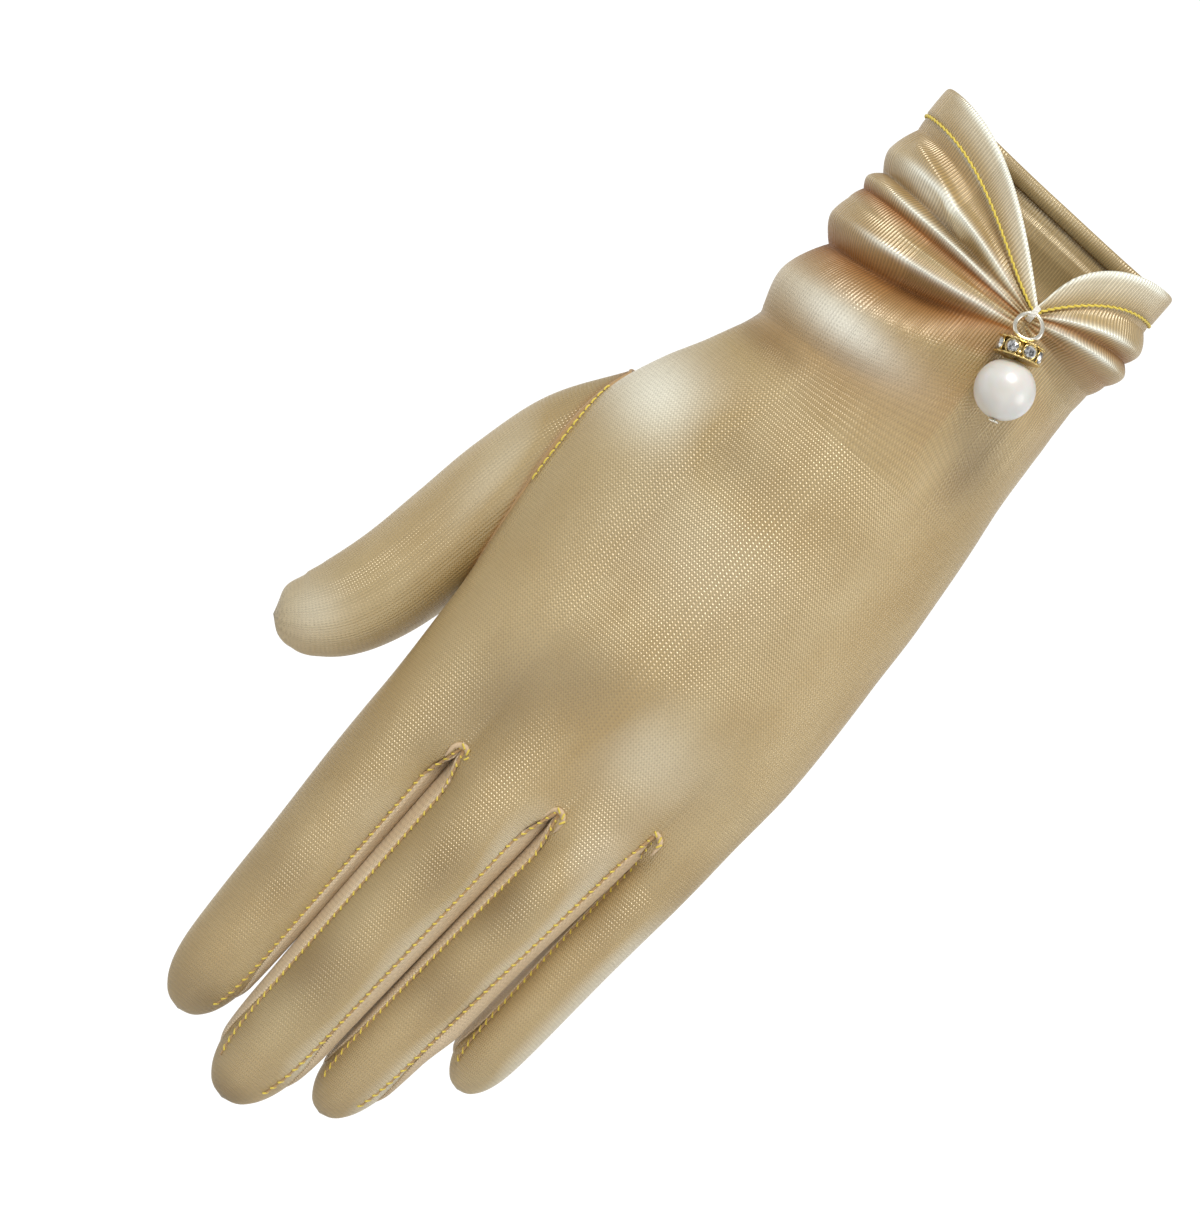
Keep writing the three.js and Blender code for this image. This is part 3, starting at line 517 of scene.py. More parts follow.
# How far the facing walls of a finger and the next one swell towards each other at a height.
def swelling(f, z):
    one, other = fingers["table"][f], fingers["table"][f + 1]
    free = fingerPoint(other, math.pi, z).x - fingerPoint(one, 0, z).x - fingers["gap"]
    along = max((-hand["palmLength"] - z) / (finger["reach"] * fingers["length"]) for finger in (one, other))
    end, (after, before) = fingers["apart"][f], fingers["apartFade"]
    return min(max(free / 2, 0.0), fingers["bulge"]) * smooth(-along, -end - after, -end + before)


# The trank: the hand in strips, one for each finger, that run on into the fingers

trankForm = dict(backColumns=16, sideColumns=10, foldSteps=9, palmRows=78, fingerRows=76,
                 sideAngle=math.radians(22), blendAbove=0.034, blendBelow=0.008, crotchLength=0.007,
                 bunch=0.45, bunchPower=1.5, lipRows=(2.0, 1.0, 0.8, 0.6, 0.4, 0.2), hemRow=0.03, wall=0.0007)


def stripAngles():
    edge = handSection(-hand["palmLength"])
    turns = []
    for one, other in zip(fingers["table"], fingers["table"][1:]):
        weight = one["width"] / (one["width"] + other["width"])
        x = mix(one["across"], other["across"], weight) * hand["palmWidth"] / 2
        width = edge["right"] if x > 0 else edge["left"]
        turns.append(math.acos(math.copysign(abs(x / width) ** (edge["square"] / 2), x)))
    return [math.pi - trankForm["sideAngle"], *turns, trankForm["sideAngle"]]


boundaries = stripAngles()
foldCount = len(foldRows["rows"]) - 1
foldEnd = -foldRows["rows"][-1][0] * hand["cuffHeight"] / hand["palmLength"]
fingerTips = [-hand["palmLength"] - f["reach"] * fingers["length"] for f in fingers["table"]]


# Rows lie closer together towards a rounded tip.
def bunched(share, bunch, exponent):
    left = 1 - math.sin(share * math.pi / 2) * bunch - share * (1 - bunch)
    return 1 - max(left, 0.0) ** exponent


def rowList():
    rows = [("cuff", i / trankForm["foldSteps"]) for i in range(foldCount * trankForm["foldSteps"])]
    rows.insert(1, ("cuff", trankForm["hemRow"]))
    rows = [("cuff", -share) for share in trankForm["lipRows"]] + rows
    rows += [("palm", mix(foldEnd, 1.0, i / trankForm["palmRows"])) for i in range(trankForm["palmRows"] + 1)]
    for i in range(1, trankForm["fingerRows"] + 1):
        share = i / trankForm["fingerRows"]
        rows.append(("finger", bunched(share, trankForm["bunch"], trankForm["bunchPower"])))
    return rows


rowsOfHand = rowList()
forkRow = len(rowsOfHand) - 1 - trankForm["fingerRows"]


# The angle round the hand and round the finger of one column of a strip.
def columnTurns(f, strip, share):
    seam, a, b = fingers["seamAngle"], boundaries[f], boundaries[f + 1]
    if strip == "back":
        return mix(a, b, share), mix(math.pi - seam, seam, share)
    if strip == "palm":
        return mix(-b, -a, share), mix(-seam, -(math.pi - seam), share)
    if strip == "right":
        return mix(b, -b, share), mix(seam, -seam, share)
    return mix(-a, a - 2 * math.pi, share), mix(-(math.pi - seam), -(math.pi + seam), share)


# The strips that show on the outside; the others are the facing walls of two fingers.
def isOuter(f, strip):
    return strip in ("back", "palm") or (f, strip) in ((0, "left"), (3, "right"))


def rawPoint(f, strip, share, row):
    kind, place = row
    handTurn, fingerTurn = columnTurns(f, strip, share)
    if kind == "cuff":
        return cuffPoint(handTurn, place)
    found = palmPoint(handTurn, place if kind == "palm" else 1.0)
    if kind == "finger":
        start = found["at"].z
        found["at"].z = mix(start, fingerTips[f], place)
        found["along"] = found["at"].z
        above = found["at"].z - start
    else:
        above = found["at"].z - forkHeight(found["at"].x)
    weight = smooth(-above, -trankForm["blendAbove"], trankForm["blendBelow"])
    outer = isOuter(f, strip)
    if weight > 0:
        own = fingerPoint(fingers["table"][f], fingerTurn, found["at"].z)
        if not outer:
            crown = 1 - abs(2 * share - 1) ** 2.5
            own.x += swelling(f, own.z) * crown if strip == "right" else -swelling(f - 1, own.z) * crown
        found["at"] = found["at"].lerp(own, weight if outer else 1.0)
    found["open"] = smooth(-above, 0, trankForm["crotchLength"])
    return found


strips = (("back", trankForm["backColumns"]), ("right", trankForm["sideColumns"]),
          ("palm", trankForm["backColumns"]), ("left", trankForm["sideColumns"]))


# Every strip's points on one row, with neighbouring fingers drawn together above the crotch.
def handRow(index):
    row = rowsOfHand[index]
    ring = [{strip: [rawPoint(f, strip, j / count, row) for j in range(count + 1)] for strip, count in strips}
            for f in range(4)]
    if row[0] == "cuff":
        return ring
    original = [{strip: [p["at"].copy() for p in line] for strip, line in one.items()} for one in ring]
    for f in range(4):
        one = ring[f]
        for strip, count in strips:
            if strip in ("back", "palm"):
                continue
            start, end = ("back", "palm") if strip == "right" else ("palm", "back")
            before = original[f][start][-1] - original[f][strip][0]
            after = original[f][end][0] - original[f][strip][-1]
            for j, p in enumerate(one[strip]):
                p["at"] = p["at"] + before.lerp(after, j / count)
    walls = [{strip: [p["at"].copy() for p in one[strip]] for strip in ("right", "left")} for one in ring]
    for f in range(3):
        one, other = ring[f], ring[f + 1]
        for j in range(trankForm["sideColumns"] + 1):
            here, there = walls[f]["right"][j], walls[f + 1]["left"][-1 - j]
            for side, own, k in ((one["right"], here, j), (other["left"], there, trankForm["sideColumns"] - j)):
                side[k]["at"] = side[k]["at"] + ((here + there) / 2 - own) * (1 - side[k]["open"])
        for near, far, k, m in (("back", "back", -1, 0), ("palm", "palm", 0, -1)):
            here, there = original[f][near][k], original[f + 1][far][m]
            count = trankForm["backColumns"]
            for line, own, edge in ((one[near], here, k), (other[far], there, m)):
                for j, p in enumerate(line):
                    share = (j if edge == -1 else count - j) / count
                    p["at"] = p["at"] + ((here + there) / 2 - own) * (1 - line[edge]["open"]) * share ** 3
    return ring


handRows = [handRow(i) for i in range(len(rowsOfHand))]
print("hand rows", len(handRows))

# The cloth's flat width: that of a finger of full width, that of a side wall, and once round the hand.
flatCloth = dict(finger=0.0205, wall=0.011, around=0.2)
flatWidths = [finger["width"] * flatCloth["finger"] for finger in fingers["table"]]
acrossStart = [sum(flatWidths[:f]) for f in range(5)]


def clothAcross(f, strip, share):
    if strip == "back":
        return acrossStart[f] + flatWidths[f] * share
    if strip == "palm":
        return flatCloth["around"] - acrossStart[f] - flatWidths[f] * share
    if strip == "right":
        return acrossStart[f + 1] + flatCloth["wall"] * share
    return acrossStart[f] - flatCloth["wall"] * (1 - share)


# Painted shade and painted highlights on the back of the hand, standing in for the satin's reflections and shadows:
# x, z and the two reaches in millimetres, and depth, which is negative for a painted highlight.
zones = dict(gain=1.15, backFade=(-0.012, 0.002), rows=(
    (-17.9, -122.0, 9.0, 11.0, 0.55), (-7.5, -107.9, 8.0, 8.0, 0.4), (-5.4, -153.4, 5.0, 8.0, 0.5),
    (-27.2, -174.1, 6.0, 7.0, 0.35), (-23.4, -203.0, 8.0, 6.0, 0.7), (-9.8, -184.0, 6.0, 8.0, 0.6),
    (-7.9, -214.0, 8.0, 3.5, 0.8), (9.4, -151.1, 5.0, 8.0, 0.6), (9.5, -171.4, 5.0, 6.0, 0.45),
    (6.2, -206.0, 7.0, 3.5, 0.8), (25.8, -180.0, 6.0, 4.0, 0.3), (-12.2, -57.9, 12.0, 6.0, 0.25),
    (-24.2, -37.4, 8.0, 3.0, 0.6), (-22.9, -136.4, 6.0, 8.0, 0.25), (25.0, -139.0, 4.0, 8.0, 0.3),
    (-6.6, -77.0, 18.0, 14.0, -0.09), (-34.0, -58.0, 10.0, 9.0, -0.68), (-15.5, -25.8, 13.0, 4.0, -0.88),
    (16.4, -33.1, 2.5, 9.0, -0.22), (21.0, -32.0, 5.0, 9.0, 0.65), (11.1, -111.9, 10.0, 10.0, -0.22),
    (16.4, -132.5, 6.0, 8.0, -0.16), (-24.1, -151.3, 6.0, 10.0, -0.04),
    (-24.5, 5.2, 3.5, 1.6, -0.45), (-19.0, 3.4, 4.0, 1.4, -0.55), (-13.0, 2.0, 3.5, 1.2, -0.4),
))


def zoneShade(point):
    total = 0.0
    for x, z, reachX, reachZ, depth in zones["rows"]:
        total += depth * math.exp(-((point.x / mm - x) / reachX) ** 2 - ((point.z / mm - z) / reachZ) ** 2)
    return zones["gain"] * total * smooth(-point.y, *zones["backFade"])


fingerTones = dict(depths=((0.2, 0.15), (0.4, 0.5), (0.45, 0.55), (0.15, 0.5)), leftFade=(0.1, 0.9),
                   rightFade=(0.3, 0.95), heightFade=(-0.5, 0.1), startFade=(-0.004, 0.014))


# Each finger gets painted shade, warmer, on its left and a paler painted reflection of the backdrop on its right.
def fingerShade(f, point):
    finger = fingers["table"][f]
    middle = (fingerPoint(finger, 0, point.z).x + fingerPoint(finger, math.pi, point.z).x) / 2
    across = (point.x - middle) / (finger["width"] * fingers["width"] / 2)
    left, right = fingerTones["depths"][f]
    side = left * smooth(-across, *fingerTones["leftFade"]) - right * smooth(across, *fingerTones["rightFade"])
    height = (fingerPoint(finger, 0, point.z).y - point.y) / (fingers["thickness"] / 2)
    start = smooth(-point.z - hand["palmLength"], *fingerTones["startFade"])
    return side * smooth(height, *fingerTones["heightFade"]) * start


def startCloth():
    bm = bmesh.new()
    return bm, bm.loops.layers.uv.new("cloth"), [bm.verts.layers.float.new(name) for name in clothShades]


# Lays a flat grid over the cloth: place gives the point, the cloth's own coordinates and its shades.
def layGrid(cloth, columns, rows, place):
    bm, uvLayer, shadeLayers = cloth
    made = bmesh.ops.create_grid(bm, x_segments=columns, y_segments=rows, size=0.5)["verts"]
    spots = {}
    for v in made:
        a, b = v.co.x + 0.5, v.co.y + 0.5
        found = place(a, b)
        v.co = found["at"]
        for name, layer in zip(clothShades, shadeLayers):
            v[layer] = found.get(name, 0.0)
        spots[v] = (found["across"], found["along"])
    for face in {face for v in made for face in v.link_faces}:
        for loop in face.loops:
            loop[uvLayer].uv = spots[loop.vert]


def stripPlacer(f, strip, count, first, last):
    def place(a, b):
        j, i = round(a * count), round(mix(first, last, b))
        found = dict(handRows[i][f][strip][j])
        found["across"] = clothAcross(f, strip, a)
        found["shade"] = zoneShade(found["at"]) + fingerShade(f, found["at"]) + found.get("crestHighlight", 0.0)
        return found
    return place


# Creases as lines of x and z in millimetres.
creases = dict(rows=(
    dict(points=((-26.6, 9.1), (-21.8, 7.6), (-17.1, 6.1), (-13.3, 3.2), (-9.5, 1.7)), rise=0.8, width=1.0),
    dict(points=((-28.5, -34.8), (-24.5, -35.9), (-20.9, -36.7)), rise=-0.45, width=2.6),
    dict(points=((-16.0, -20.0), (-8.0, -23.5), (2.0, -22.0)), rise=0.5, width=7.0),
    dict(points=((5.0, -12.0), (14.0, -16.5), (24.0, -17.0)), rise=0.35, width=4.0),
), noiseHeight=0.32, noiseScale=38.0, noiseStretch=1.6, start=(-4, 26), reach=3)


def nearLine(points, x, z):
    best = 1e9
    for (x0, z0), (x1, z1) in zip(points, points[1:]):
        dx, dz = x1 - x0, z1 - z0
        t = min(max(((x - x0) * dx + (z - z0) * dz) / (dx * dx + dz * dz), 0), 1)
        best = min(best, math.hypot(x - x0 - t * dx, z - z0 - t * dz))
    return best


def creaseRise(point, normal):
    x, z = point.x / mm, point.z / mm
    place = Vector((point.x * creases["noiseStretch"], point.y, point.z)) * creases["noiseScale"]
    rise = creases["noiseHeight"] * noise.noise(place) * smooth(-z, *creases["start"])
    if normal.y < 0:
        for crease in creases["rows"]:
            away = nearLine(crease["points"], x, z) / crease["width"]
            if away < creases["reach"]:
                rise += crease["rise"] * math.exp(-away * away)
    return rise * mm


def finishCloth(bm, name, material, thickness, shape=None):
    bmesh.ops.remove_doubles(bm, verts=bm.verts, dist=5e-6)
    bmesh.ops.dissolve_degenerate(bm, edges=bm.edges, dist=1e-6)
    bmesh.ops.recalc_face_normals(bm, faces=bm.faces)
    bm.normal_update()
    if shape:
        moves = [(v, v.normal * shape(v.co, v.normal)) for v in bm.verts]
        for v, move in moves:
            v.co += move
        bm.normal_update()
    return placeMesh(bm, name, material, thickness)


def meshObject(bm, name, material, flat):
    mesh = bpy.data.meshes.new(name)
    bm.to_mesh(mesh)
    bm.free()
    for face in mesh.polygons:
        face.use_smooth = not flat
    mesh.materials.append(material)
    made = bpy.data.objects.new(name, mesh)
    bpy.context.scene.collection.objects.link(made)
    return made


def placeMesh(bm, name, material, thickness=0.0, flat=False):
    piece = meshObject(bm, name, material, flat)
    if thickness:
        addWall(piece, thickness, -1)
    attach(piece, "root")
    return piece


# Offset -1 lays the wall inside the surface and 0 half on either side.
def addWall(piece, thickness, offset):
    solidify = piece.modifiers.new("wall", "SOLIDIFY")
    solidify.thickness, solidify.offset = thickness, offset


def makeTrank():
    cloth = startCloth()
    last = len(rowsOfHand) - 1
    for f in range(4):
        for strip, count in strips:
            first = 0 if isOuter(f, strip) else forkRow
            layGrid(cloth, count, last - first, stripPlacer(f, strip, count, first, last))
    piece = finishCloth(cloth[0], "glove_trank", satin, trankForm["wall"], creaseRise)
    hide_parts("trank")


makeTrank()
print("trank made")


# Side strips between the fingers

fourchetteForm = dict(proud=0.22 * mm, wave=0.14 * mm, sunk=1.2 * mm, sinkFrom=0.8, sinkTo=0.95, wall=0.5 * mm,
                      rowShare=0.8, taperStart=0.5, taper=0.97, taperPower=1.5, rows=110, groove=0.25, length=0.16)


def makeFourchette(f):
    cloth = startCloth()
    form, rowShare = fourchetteForm, fourchetteForm["rowShare"]
    count, fingerRows = trankForm["sideColumns"], trankForm["fingerRows"]

    def onWall(finger, strip, share, t):
        row = mix(forkRow, forkRow + fingerRows, t)
        i = min(int(row), forkRow + fingerRows - 1)
        k = share * count
        j = min(int(k), count - 1)

        def pick(a, b):
            return handRows[a][finger][strip][b]["at"]

        low = pick(i, j).lerp(pick(i, j + 1), k - j)
        high = pick(i + 1, j).lerp(pick(i + 1, j + 1), k - j)
        return low.lerp(high, row - i)

    def place(a, b):
        finger, strip = (f, "right") if b < 0.5 else (f + 1, "left")
        side = 1 if strip == "right" else -1
        t = abs(b - 0.5) * 2 * rowShare
        narrowing = smooth(t, form["taperStart"] * rowShare, rowShare) ** form["taperPower"]
        share = 0.5 + side * (a - 0.5) * (1 - narrowing * form["taper"])
        point = onWall(finger, strip, share, t)
        step = onWall(finger, strip, share, min(t + 0.01, 1)) - point
        across = onWall(finger, strip, min(share + 0.05, 1), t) - onWall(finger, strip, max(share - 0.05, 0), t)
        out = across.cross(step)
        if out.x * side < 0:
            out.negate()
        out = out.normalized().lerp(Vector((0, 0, -1)), max(0.0, 1 - t * 40)).normalized()
        proud = form["proud"] + side * form["wave"] * math.sin(2 * math.pi * a)
        proud -= form["sunk"] * smooth(t, form["sinkFrom"] * rowShare, form["sinkTo"] * rowShare)
        # Painted shade at the fork, where the strip meets the hand between the fingers.
        return dict(at=point + out * proud, groove=form["groove"] * max(0.0, 1 - t * 12), hem=0.0,
                    across=a * flatCloth["wall"], along=(b - 0.5) * form["length"])

    layGrid(cloth, count, form["rows"], place)
    names = fingers["table"]
    node = "fourchette_" + names[f]["name"] + "_" + names[f + 1]["name"]
    piece = finishCloth(cloth[0], "cloth_" + node, sideCloth, 0.0)
    addWall(piece, form["wall"], 0)
    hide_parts(node)


for f in range(3):
    makeFourchette(f)
print("fourchettes made")


# Thumb, sewn to the hand along the line where its tube comes out of the palm

thumbForm = dict(width=0.021, thickness=0.021, columns=44, rows=92, bunch=0.25, bunchPower=1.3, sewnIn=0.006,
                 wall=0.0007, steps=400, around=0.066, length=0.09)
thumbSections = dict(columns=("along", "across", "down", "sink", "wide", "deep"), rows=(
    (0.0, -0.9, 0.46, 0.14, 0.62, 0.6),
    (0.17, -1.035, 0.575, 0.24, 0.98, 0.98),
    (0.34, -1.137, 0.687, 0.3, 1.02, 1.06),
    (0.5, -1.2, 0.79, 0.33, 1.0, 1.04),
    (0.65, -1.252, 0.878, 0.32, 0.985, 0.97),
    (0.75, -1.305, 0.935, 0.3, 0.96, 0.9),
    (0.84, -1.376, 0.982, 0.28, 0.9, 0.8),
    (0.91, -1.465, 1.017, 0.265, 0.78, 0.66),
    (0.96, -1.545, 1.038, 0.255, 0.61, 0.5),
    (0.985, -1.59, 1.049, 0.25, 0.4, 0.33),
    (1.0, -1.62, 1.055, 0.25, 0.0, 0.0),
))


def thumbAxis(along):
    return Vector((lookUp(thumbSections, along, "across") * hand["palmWidth"] / 2,
                   lookUp(thumbSections, along, "sink") * hand["palmThickness"],
                   -lookUp(thumbSections, along, "down") * hand["palmLength"]))


thumbFrames = []
for i in range(thumbForm["steps"] + 1):
    along = i / thumbForm["steps"]
    forward = (thumbAxis(min(along + 0.004, 1)) - thumbAxis(max(along - 0.004, 0))).normalized()
    side = Vector((0, 1, 0)).cross(forward).normalized()
    thumbFrames.append((thumbAxis(along), side, forward.cross(side),
                        lookUp(thumbSections, along, "wide") * thumbForm["width"] / 2,
                        lookUp(thumbSections, along, "deep") * thumbForm["thickness"] / 2))


def thumbPoint(turn, along):
    place = max(along, 0.0) * thumbForm["steps"]
    i = min(int(place), thumbForm["steps"] - 1)
    t = place - i
    points = []
    for middle, side, deep, halfWidth, halfDepth in thumbFrames[i:i + 2]:
        points.append(middle + side * halfWidth * math.cos(turn) + deep * halfDepth * math.sin(turn))
    return points[0].lerp(points[1], t)


def insideHand(point):
    section = handSection(point.z)
    width, depth = reaches(section, point.x, point.y)
    return (abs(point.x) / width) ** section["square"] + (abs(point.y) / depth) ** section["square"] < 1


# Where the thumb's tube leaves the hand, as a share of its length.
def thumbExit(turn):
    last = 0.0
    for i in range(120):
        if insideHand(thumbPoint(turn, i / 130)):
            last = i / 130
    low, high = last, last + 1 / 130
    for _ in range(12):
        middle = (low + high) / 2
        low, high = (middle, high) if insideHand(thumbPoint(turn, middle)) else (low, middle)
    return low


thumbTurns = [i / thumbForm["columns"] * 2 * math.pi for i in range(thumbForm["columns"])]
thumbExits = [thumbExit(turn) for turn in thumbTurns]


thumbTones = dict(streakX=-0.0465, streakReach=0.004, streak=0.22, streakStart=(0.07, 0.085),
                  streakEnd=(-0.11, -0.09), tipX=-0.0563, tipZ=-0.1325, tipReach=0.006, tip=0.35,
                  near=0.45, nearFade=(0.3, 0.02), nearSide=(-0.052, -0.036), groove=0.6, grooveFade=(0.06, 0.0),
                  ribbed=0.35)


# Painted highlights: a pale streak down the middle and a pale tip where the light falls; painted shadow, darker,
# near the seam.
def thumbShade(point, away):
    tones = thumbTones
    dark = tones["near"] * smooth(away, *tones["nearFade"]) * smooth(point.x, *tones["nearSide"])
    streak = tones["streak"] * math.exp(-((point.x - tones["streakX"]) / tones["streakReach"]) ** 2)
    streak *= smooth(-point.z, *tones["streakStart"]) * smooth(point.z, *tones["streakEnd"])
    x, z = (point.x - tones["tipX"]) / tones["tipReach"], (point.z - tones["tipZ"]) / tones["tipReach"]
    return dark - streak - tones["tip"] * math.exp(-x * x - z * z)


def makeThumb():
    cloth = startCloth()
    count = thumbForm["columns"]

    def place(a, b):
        i = round(a * count) % count
        start = thumbExits[i] - thumbForm["sewnIn"]
        share = mix(start, 1.0, bunched(b, thumbForm["bunch"], thumbForm["bunchPower"]))
        point = thumbPoint(thumbTurns[i], share)
        # Painted shade where the thumb comes out of the hand.
        groove = thumbTones["groove"] * smooth(share - start, *thumbTones["grooveFade"])
        return dict(at=point, groove=groove, shade=thumbShade(point, share - start), hem=thumbTones["ribbed"],
                    across=a * thumbForm["around"], along=-share * thumbForm["length"])

    layGrid(cloth, count, thumbForm["rows"], place)
    piece = finishCloth(cloth[0], "glove_thumb", satin, thumbForm["wall"], creaseRise)
    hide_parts("thumb")


makeThumb()
print("thumb made")


# Tubes along a line, for thread, wire and rolled seams

# The radius is one value or a list with one for each point.
def tube(bm, points, radius, sides=8, closed=False):
    rings = []
    count = len(points)
    normal = None
    for i, point in enumerate(points):
        before = points[i - 1] if (i or closed) else points[i]
        after = points[(i + 1) % count] if (i < count - 1 or closed) else points[i]
        along = (after - before).normalized()
        if normal is None:
            normal = along.orthogonal().normalized()
        normal = (normal - along * normal.dot(along)).normalized()
        other = along.cross(normal)
        size = radius[i] if isinstance(radius, list) else radius
        made = bmesh.ops.create_circle(bm, segments=sides, radius=size)["verts"]
        bmesh.ops.transform(bm, verts=made, matrix=Matrix.Translation(point)
                            @ Matrix((normal, other, along)).transposed().to_4x4())
        rings.append(made)
    pairs = list(zip(rings, rings[1:])) + ([(rings[-1], rings[0])] if closed else [])
    for one, two in pairs:
        for k in range(sides):
            m = (k + 1) % sides
            bm.faces.new((one[k], one[m], two[m], two[k]))
    if not closed:
        bm.faces.new(rings[0][::-1])
        bm.faces.new(rings[-1])


stitchForm = dict(steps=5, sides=6, rise=1.1, sunk=0.35)


# One stitch is a short arc of thread that starts and ends in the cloth.
def stitch(bm, middle, along, up, length, radius):
    points = []
    for i in range(stitchForm["steps"] + 1):
        turn = math.pi * i / stitchForm["steps"]
        lift = (math.sin(turn) * stitchForm["rise"] - stitchForm["sunk"]) * radius
        points.append(middle - along * (math.cos(turn) * length / 2) + up * lift)
    tube(bm, points, radius, sides=stitchForm["sides"])


def spaced(points, step):
    found, left = [], 0.0
    for one, two in zip(points, points[1:]):
        length = (two - one).length
        while left < length:
            found.append((one.lerp(two, left / length), (two - one).normalized()))
            left += step
        left -= length
    return found


# Slanting stitches along a seam; outOf gives the middle of the finger at the height of a point.
def overcast(bm, points, outOf, tilt):
    for middle, along in spaced(points, seams["pitch"]):
        up = (middle - outOf(middle)).normalized()
        across = along.cross(up).normalized()
        direction = (along * math.cos(tilt) + across * math.sin(tilt)).normalized()
        stitch(bm, middle, direction, up, seams["length"], seams["radius"])


seams = dict(pitch=1.85 * mm, length=1.2 * mm, radius=0.2 * mm, tilt=math.radians(38), end=0.76,
             roll=0.24 * mm, forkRoll=0.42 * mm, forkReach=3.0 * mm, lift=0.1 * mm, rowsAbove=2,
             softRounds=6, softReach=7)
forkLoop = dict(radius=1.75 * mm, roll=0.6 * mm, drop=1.9 * mm, leg=2.0 * mm, lift=0.15 * mm, span=5 * mm,
                steps=14, endSize=0.2, sideSize=0.8, turns=(0.2, 0.9, 1.7), lean=0.9, stitch=1.1 * mm)


def fingerMiddle(f):
    def outOf(point):
        finger = fingers["table"][f]
        left, right = fingerPoint(finger, math.pi, point.z), fingerPoint(finger, 0, point.z)
        return (left + right) / 2
    return outOf


# The seam of a fork: up the side of one finger, round the fork and down the next.
def forkSeam(f, strip):
    rows = range(forkRow - seams["rowsAbove"], forkRow + int(trankForm["fingerRows"] * seams["end"]))
    one, other = (-1, 0) if strip == "back" else (0, -1)
    up = [handRows[i][f][strip][one]["at"].copy() for i in reversed(rows)]
    down = [handRows[i][f + 1][strip][other]["at"].copy() for i in rows]
    outward = Vector((0, -1 if strip == "back" else 1, 0))
    line = [point + outward * seams["lift"] for point in up + down]
    near = range(len(up) - seams["softReach"], len(up) + seams["softReach"])
    for _ in range(seams["softRounds"]):
        softer = {i: (line[i - 1] + line[i] + line[i + 1]) / 3 for i in near}
        for i, point in softer.items():
            line[i] = point
    return line, len(up)


# A small rolled loop just below a fork, its ends tapered, with stitches that lean over it.
def addForkLoop(loops, stitches, line, fork, outward):
    span, steps = forkLoop["span"], forkLoop["steps"]
    below = min(line, key=lambda point: abs(point.z - fork.z + span) + (0 if point.z < fork.z else 1))
    slope = (below.y - fork.y) / span
    centre = fork + Vector((0, slope * forkLoop["drop"], -forkLoop["drop"])) + outward * forkLoop["lift"]

    def onLoop(turn, drop=0.0):
        z = math.sin(turn) * forkLoop["radius"] - drop
        return centre + Vector((math.cos(turn) * forkLoop["radius"], -slope * z, z))

    arch = [onLoop(math.pi * (1 - i / steps)) for i in range(steps + 1)]
    sizes = [mix(forkLoop["sideSize"], 1.0, math.sin(math.pi * i / steps)) for i in range(steps + 1)]
    sizes = [forkLoop["endSize"], *sizes, forkLoop["endSize"]]
    tube(loops, [onLoop(math.pi, forkLoop["leg"]), *arch, onLoop(0, forkLoop["leg"])],
         [size * forkLoop["roll"] for size in sizes], sides=10)
    for turn in forkLoop["turns"]:
        leaning = Vector((math.cos(turn + forkLoop["lean"]), 0, math.sin(turn + forkLoop["lean"])))
        stitch(stitches, onLoop(turn) + outward * forkLoop["roll"], leaning, outward, forkLoop["stitch"],
               seams["radius"])


def makeFingerSeams():
    stitches, rolls, loops = bmesh.new(), bmesh.new(), bmesh.new()
    for f in range(3):
        for strip in ("back", "palm"):
            line, middle = forkSeam(f, strip)
            fork = line[middle]
            sizes = []
            for point in line:
                near = math.exp(-((point - fork).length / seams["forkReach"]) ** 2)
                sizes.append(mix(seams["roll"], seams["forkRoll"], near))
            tube(rolls, line, sizes, sides=10)
            overcast(stitches, line[:middle], fingerMiddle(f), seams["tilt"])
            overcast(stitches, line[middle:], fingerMiddle(f + 1), -seams["tilt"])
            addForkLoop(loops, stitches, line, fork, Vector((0, -1 if strip == "back" else 1, 0)))
    piece = placeMesh(stitches, "stitches_fingers", seamThread)
    piece = placeMesh(rolls, "seams_fingers", seamRoll)
    piece = placeMesh(loops, "seams_forks", paleRoll)


makeFingerSeams()


hemStitches = dict(steps=360, pitch=1.3 * mm, slant=0.22, lift=0.2 * mm, length=1.25 * mm, radius=0.24 * mm)


def makeHemStitches():
    bm = bmesh.new()
    turns = [i / hemStitches["steps"] * 2 * math.pi for i in range(hemStitches["steps"] + 1)]
    halfWidth, halfDepth = hand["wristWidth"] / 2, hand["wristThickness"] / 2
    for middle, along in spaced([cuffPoint(turn, 1.0)["at"] for turn in turns], hemStitches["pitch"]):
        up = Vector((middle.x / halfWidth ** 2, middle.y / halfDepth ** 2, 0)).normalized()
        slant = (along + along.cross(up) * hemStitches["slant"]).normalized()
        stitch(bm, middle + up * hemStitches["lift"], slant, up, hemStitches["length"], hemStitches["radius"])
    piece = placeMesh(bm, "stitches_hem", seamThread)


makeHemStitches()


thumbSeam = dict(roll=0.3 * mm, gusset=0.95 * mm, low=-0.098, high=-0.07, front=0.004, away=0.7 * mm,
                 stitchEnd=-0.086, stitchLift=0.25 * mm, threadLift=0.1 * mm, stitch=1.4 * mm)


# The nearest point of the hand's surface at the same height, and the way out of it.
def onHand(point):
    section = handSection(point.z)
    width, depth = reaches(section, point.x, point.y)
    turn = math.atan2(power(-point.y / depth, section["square"] / 2), power(point.x / width, section["square"] / 2))
    found, out = ovalPoint(section, turn)
    found.z = point.z
    return found, out


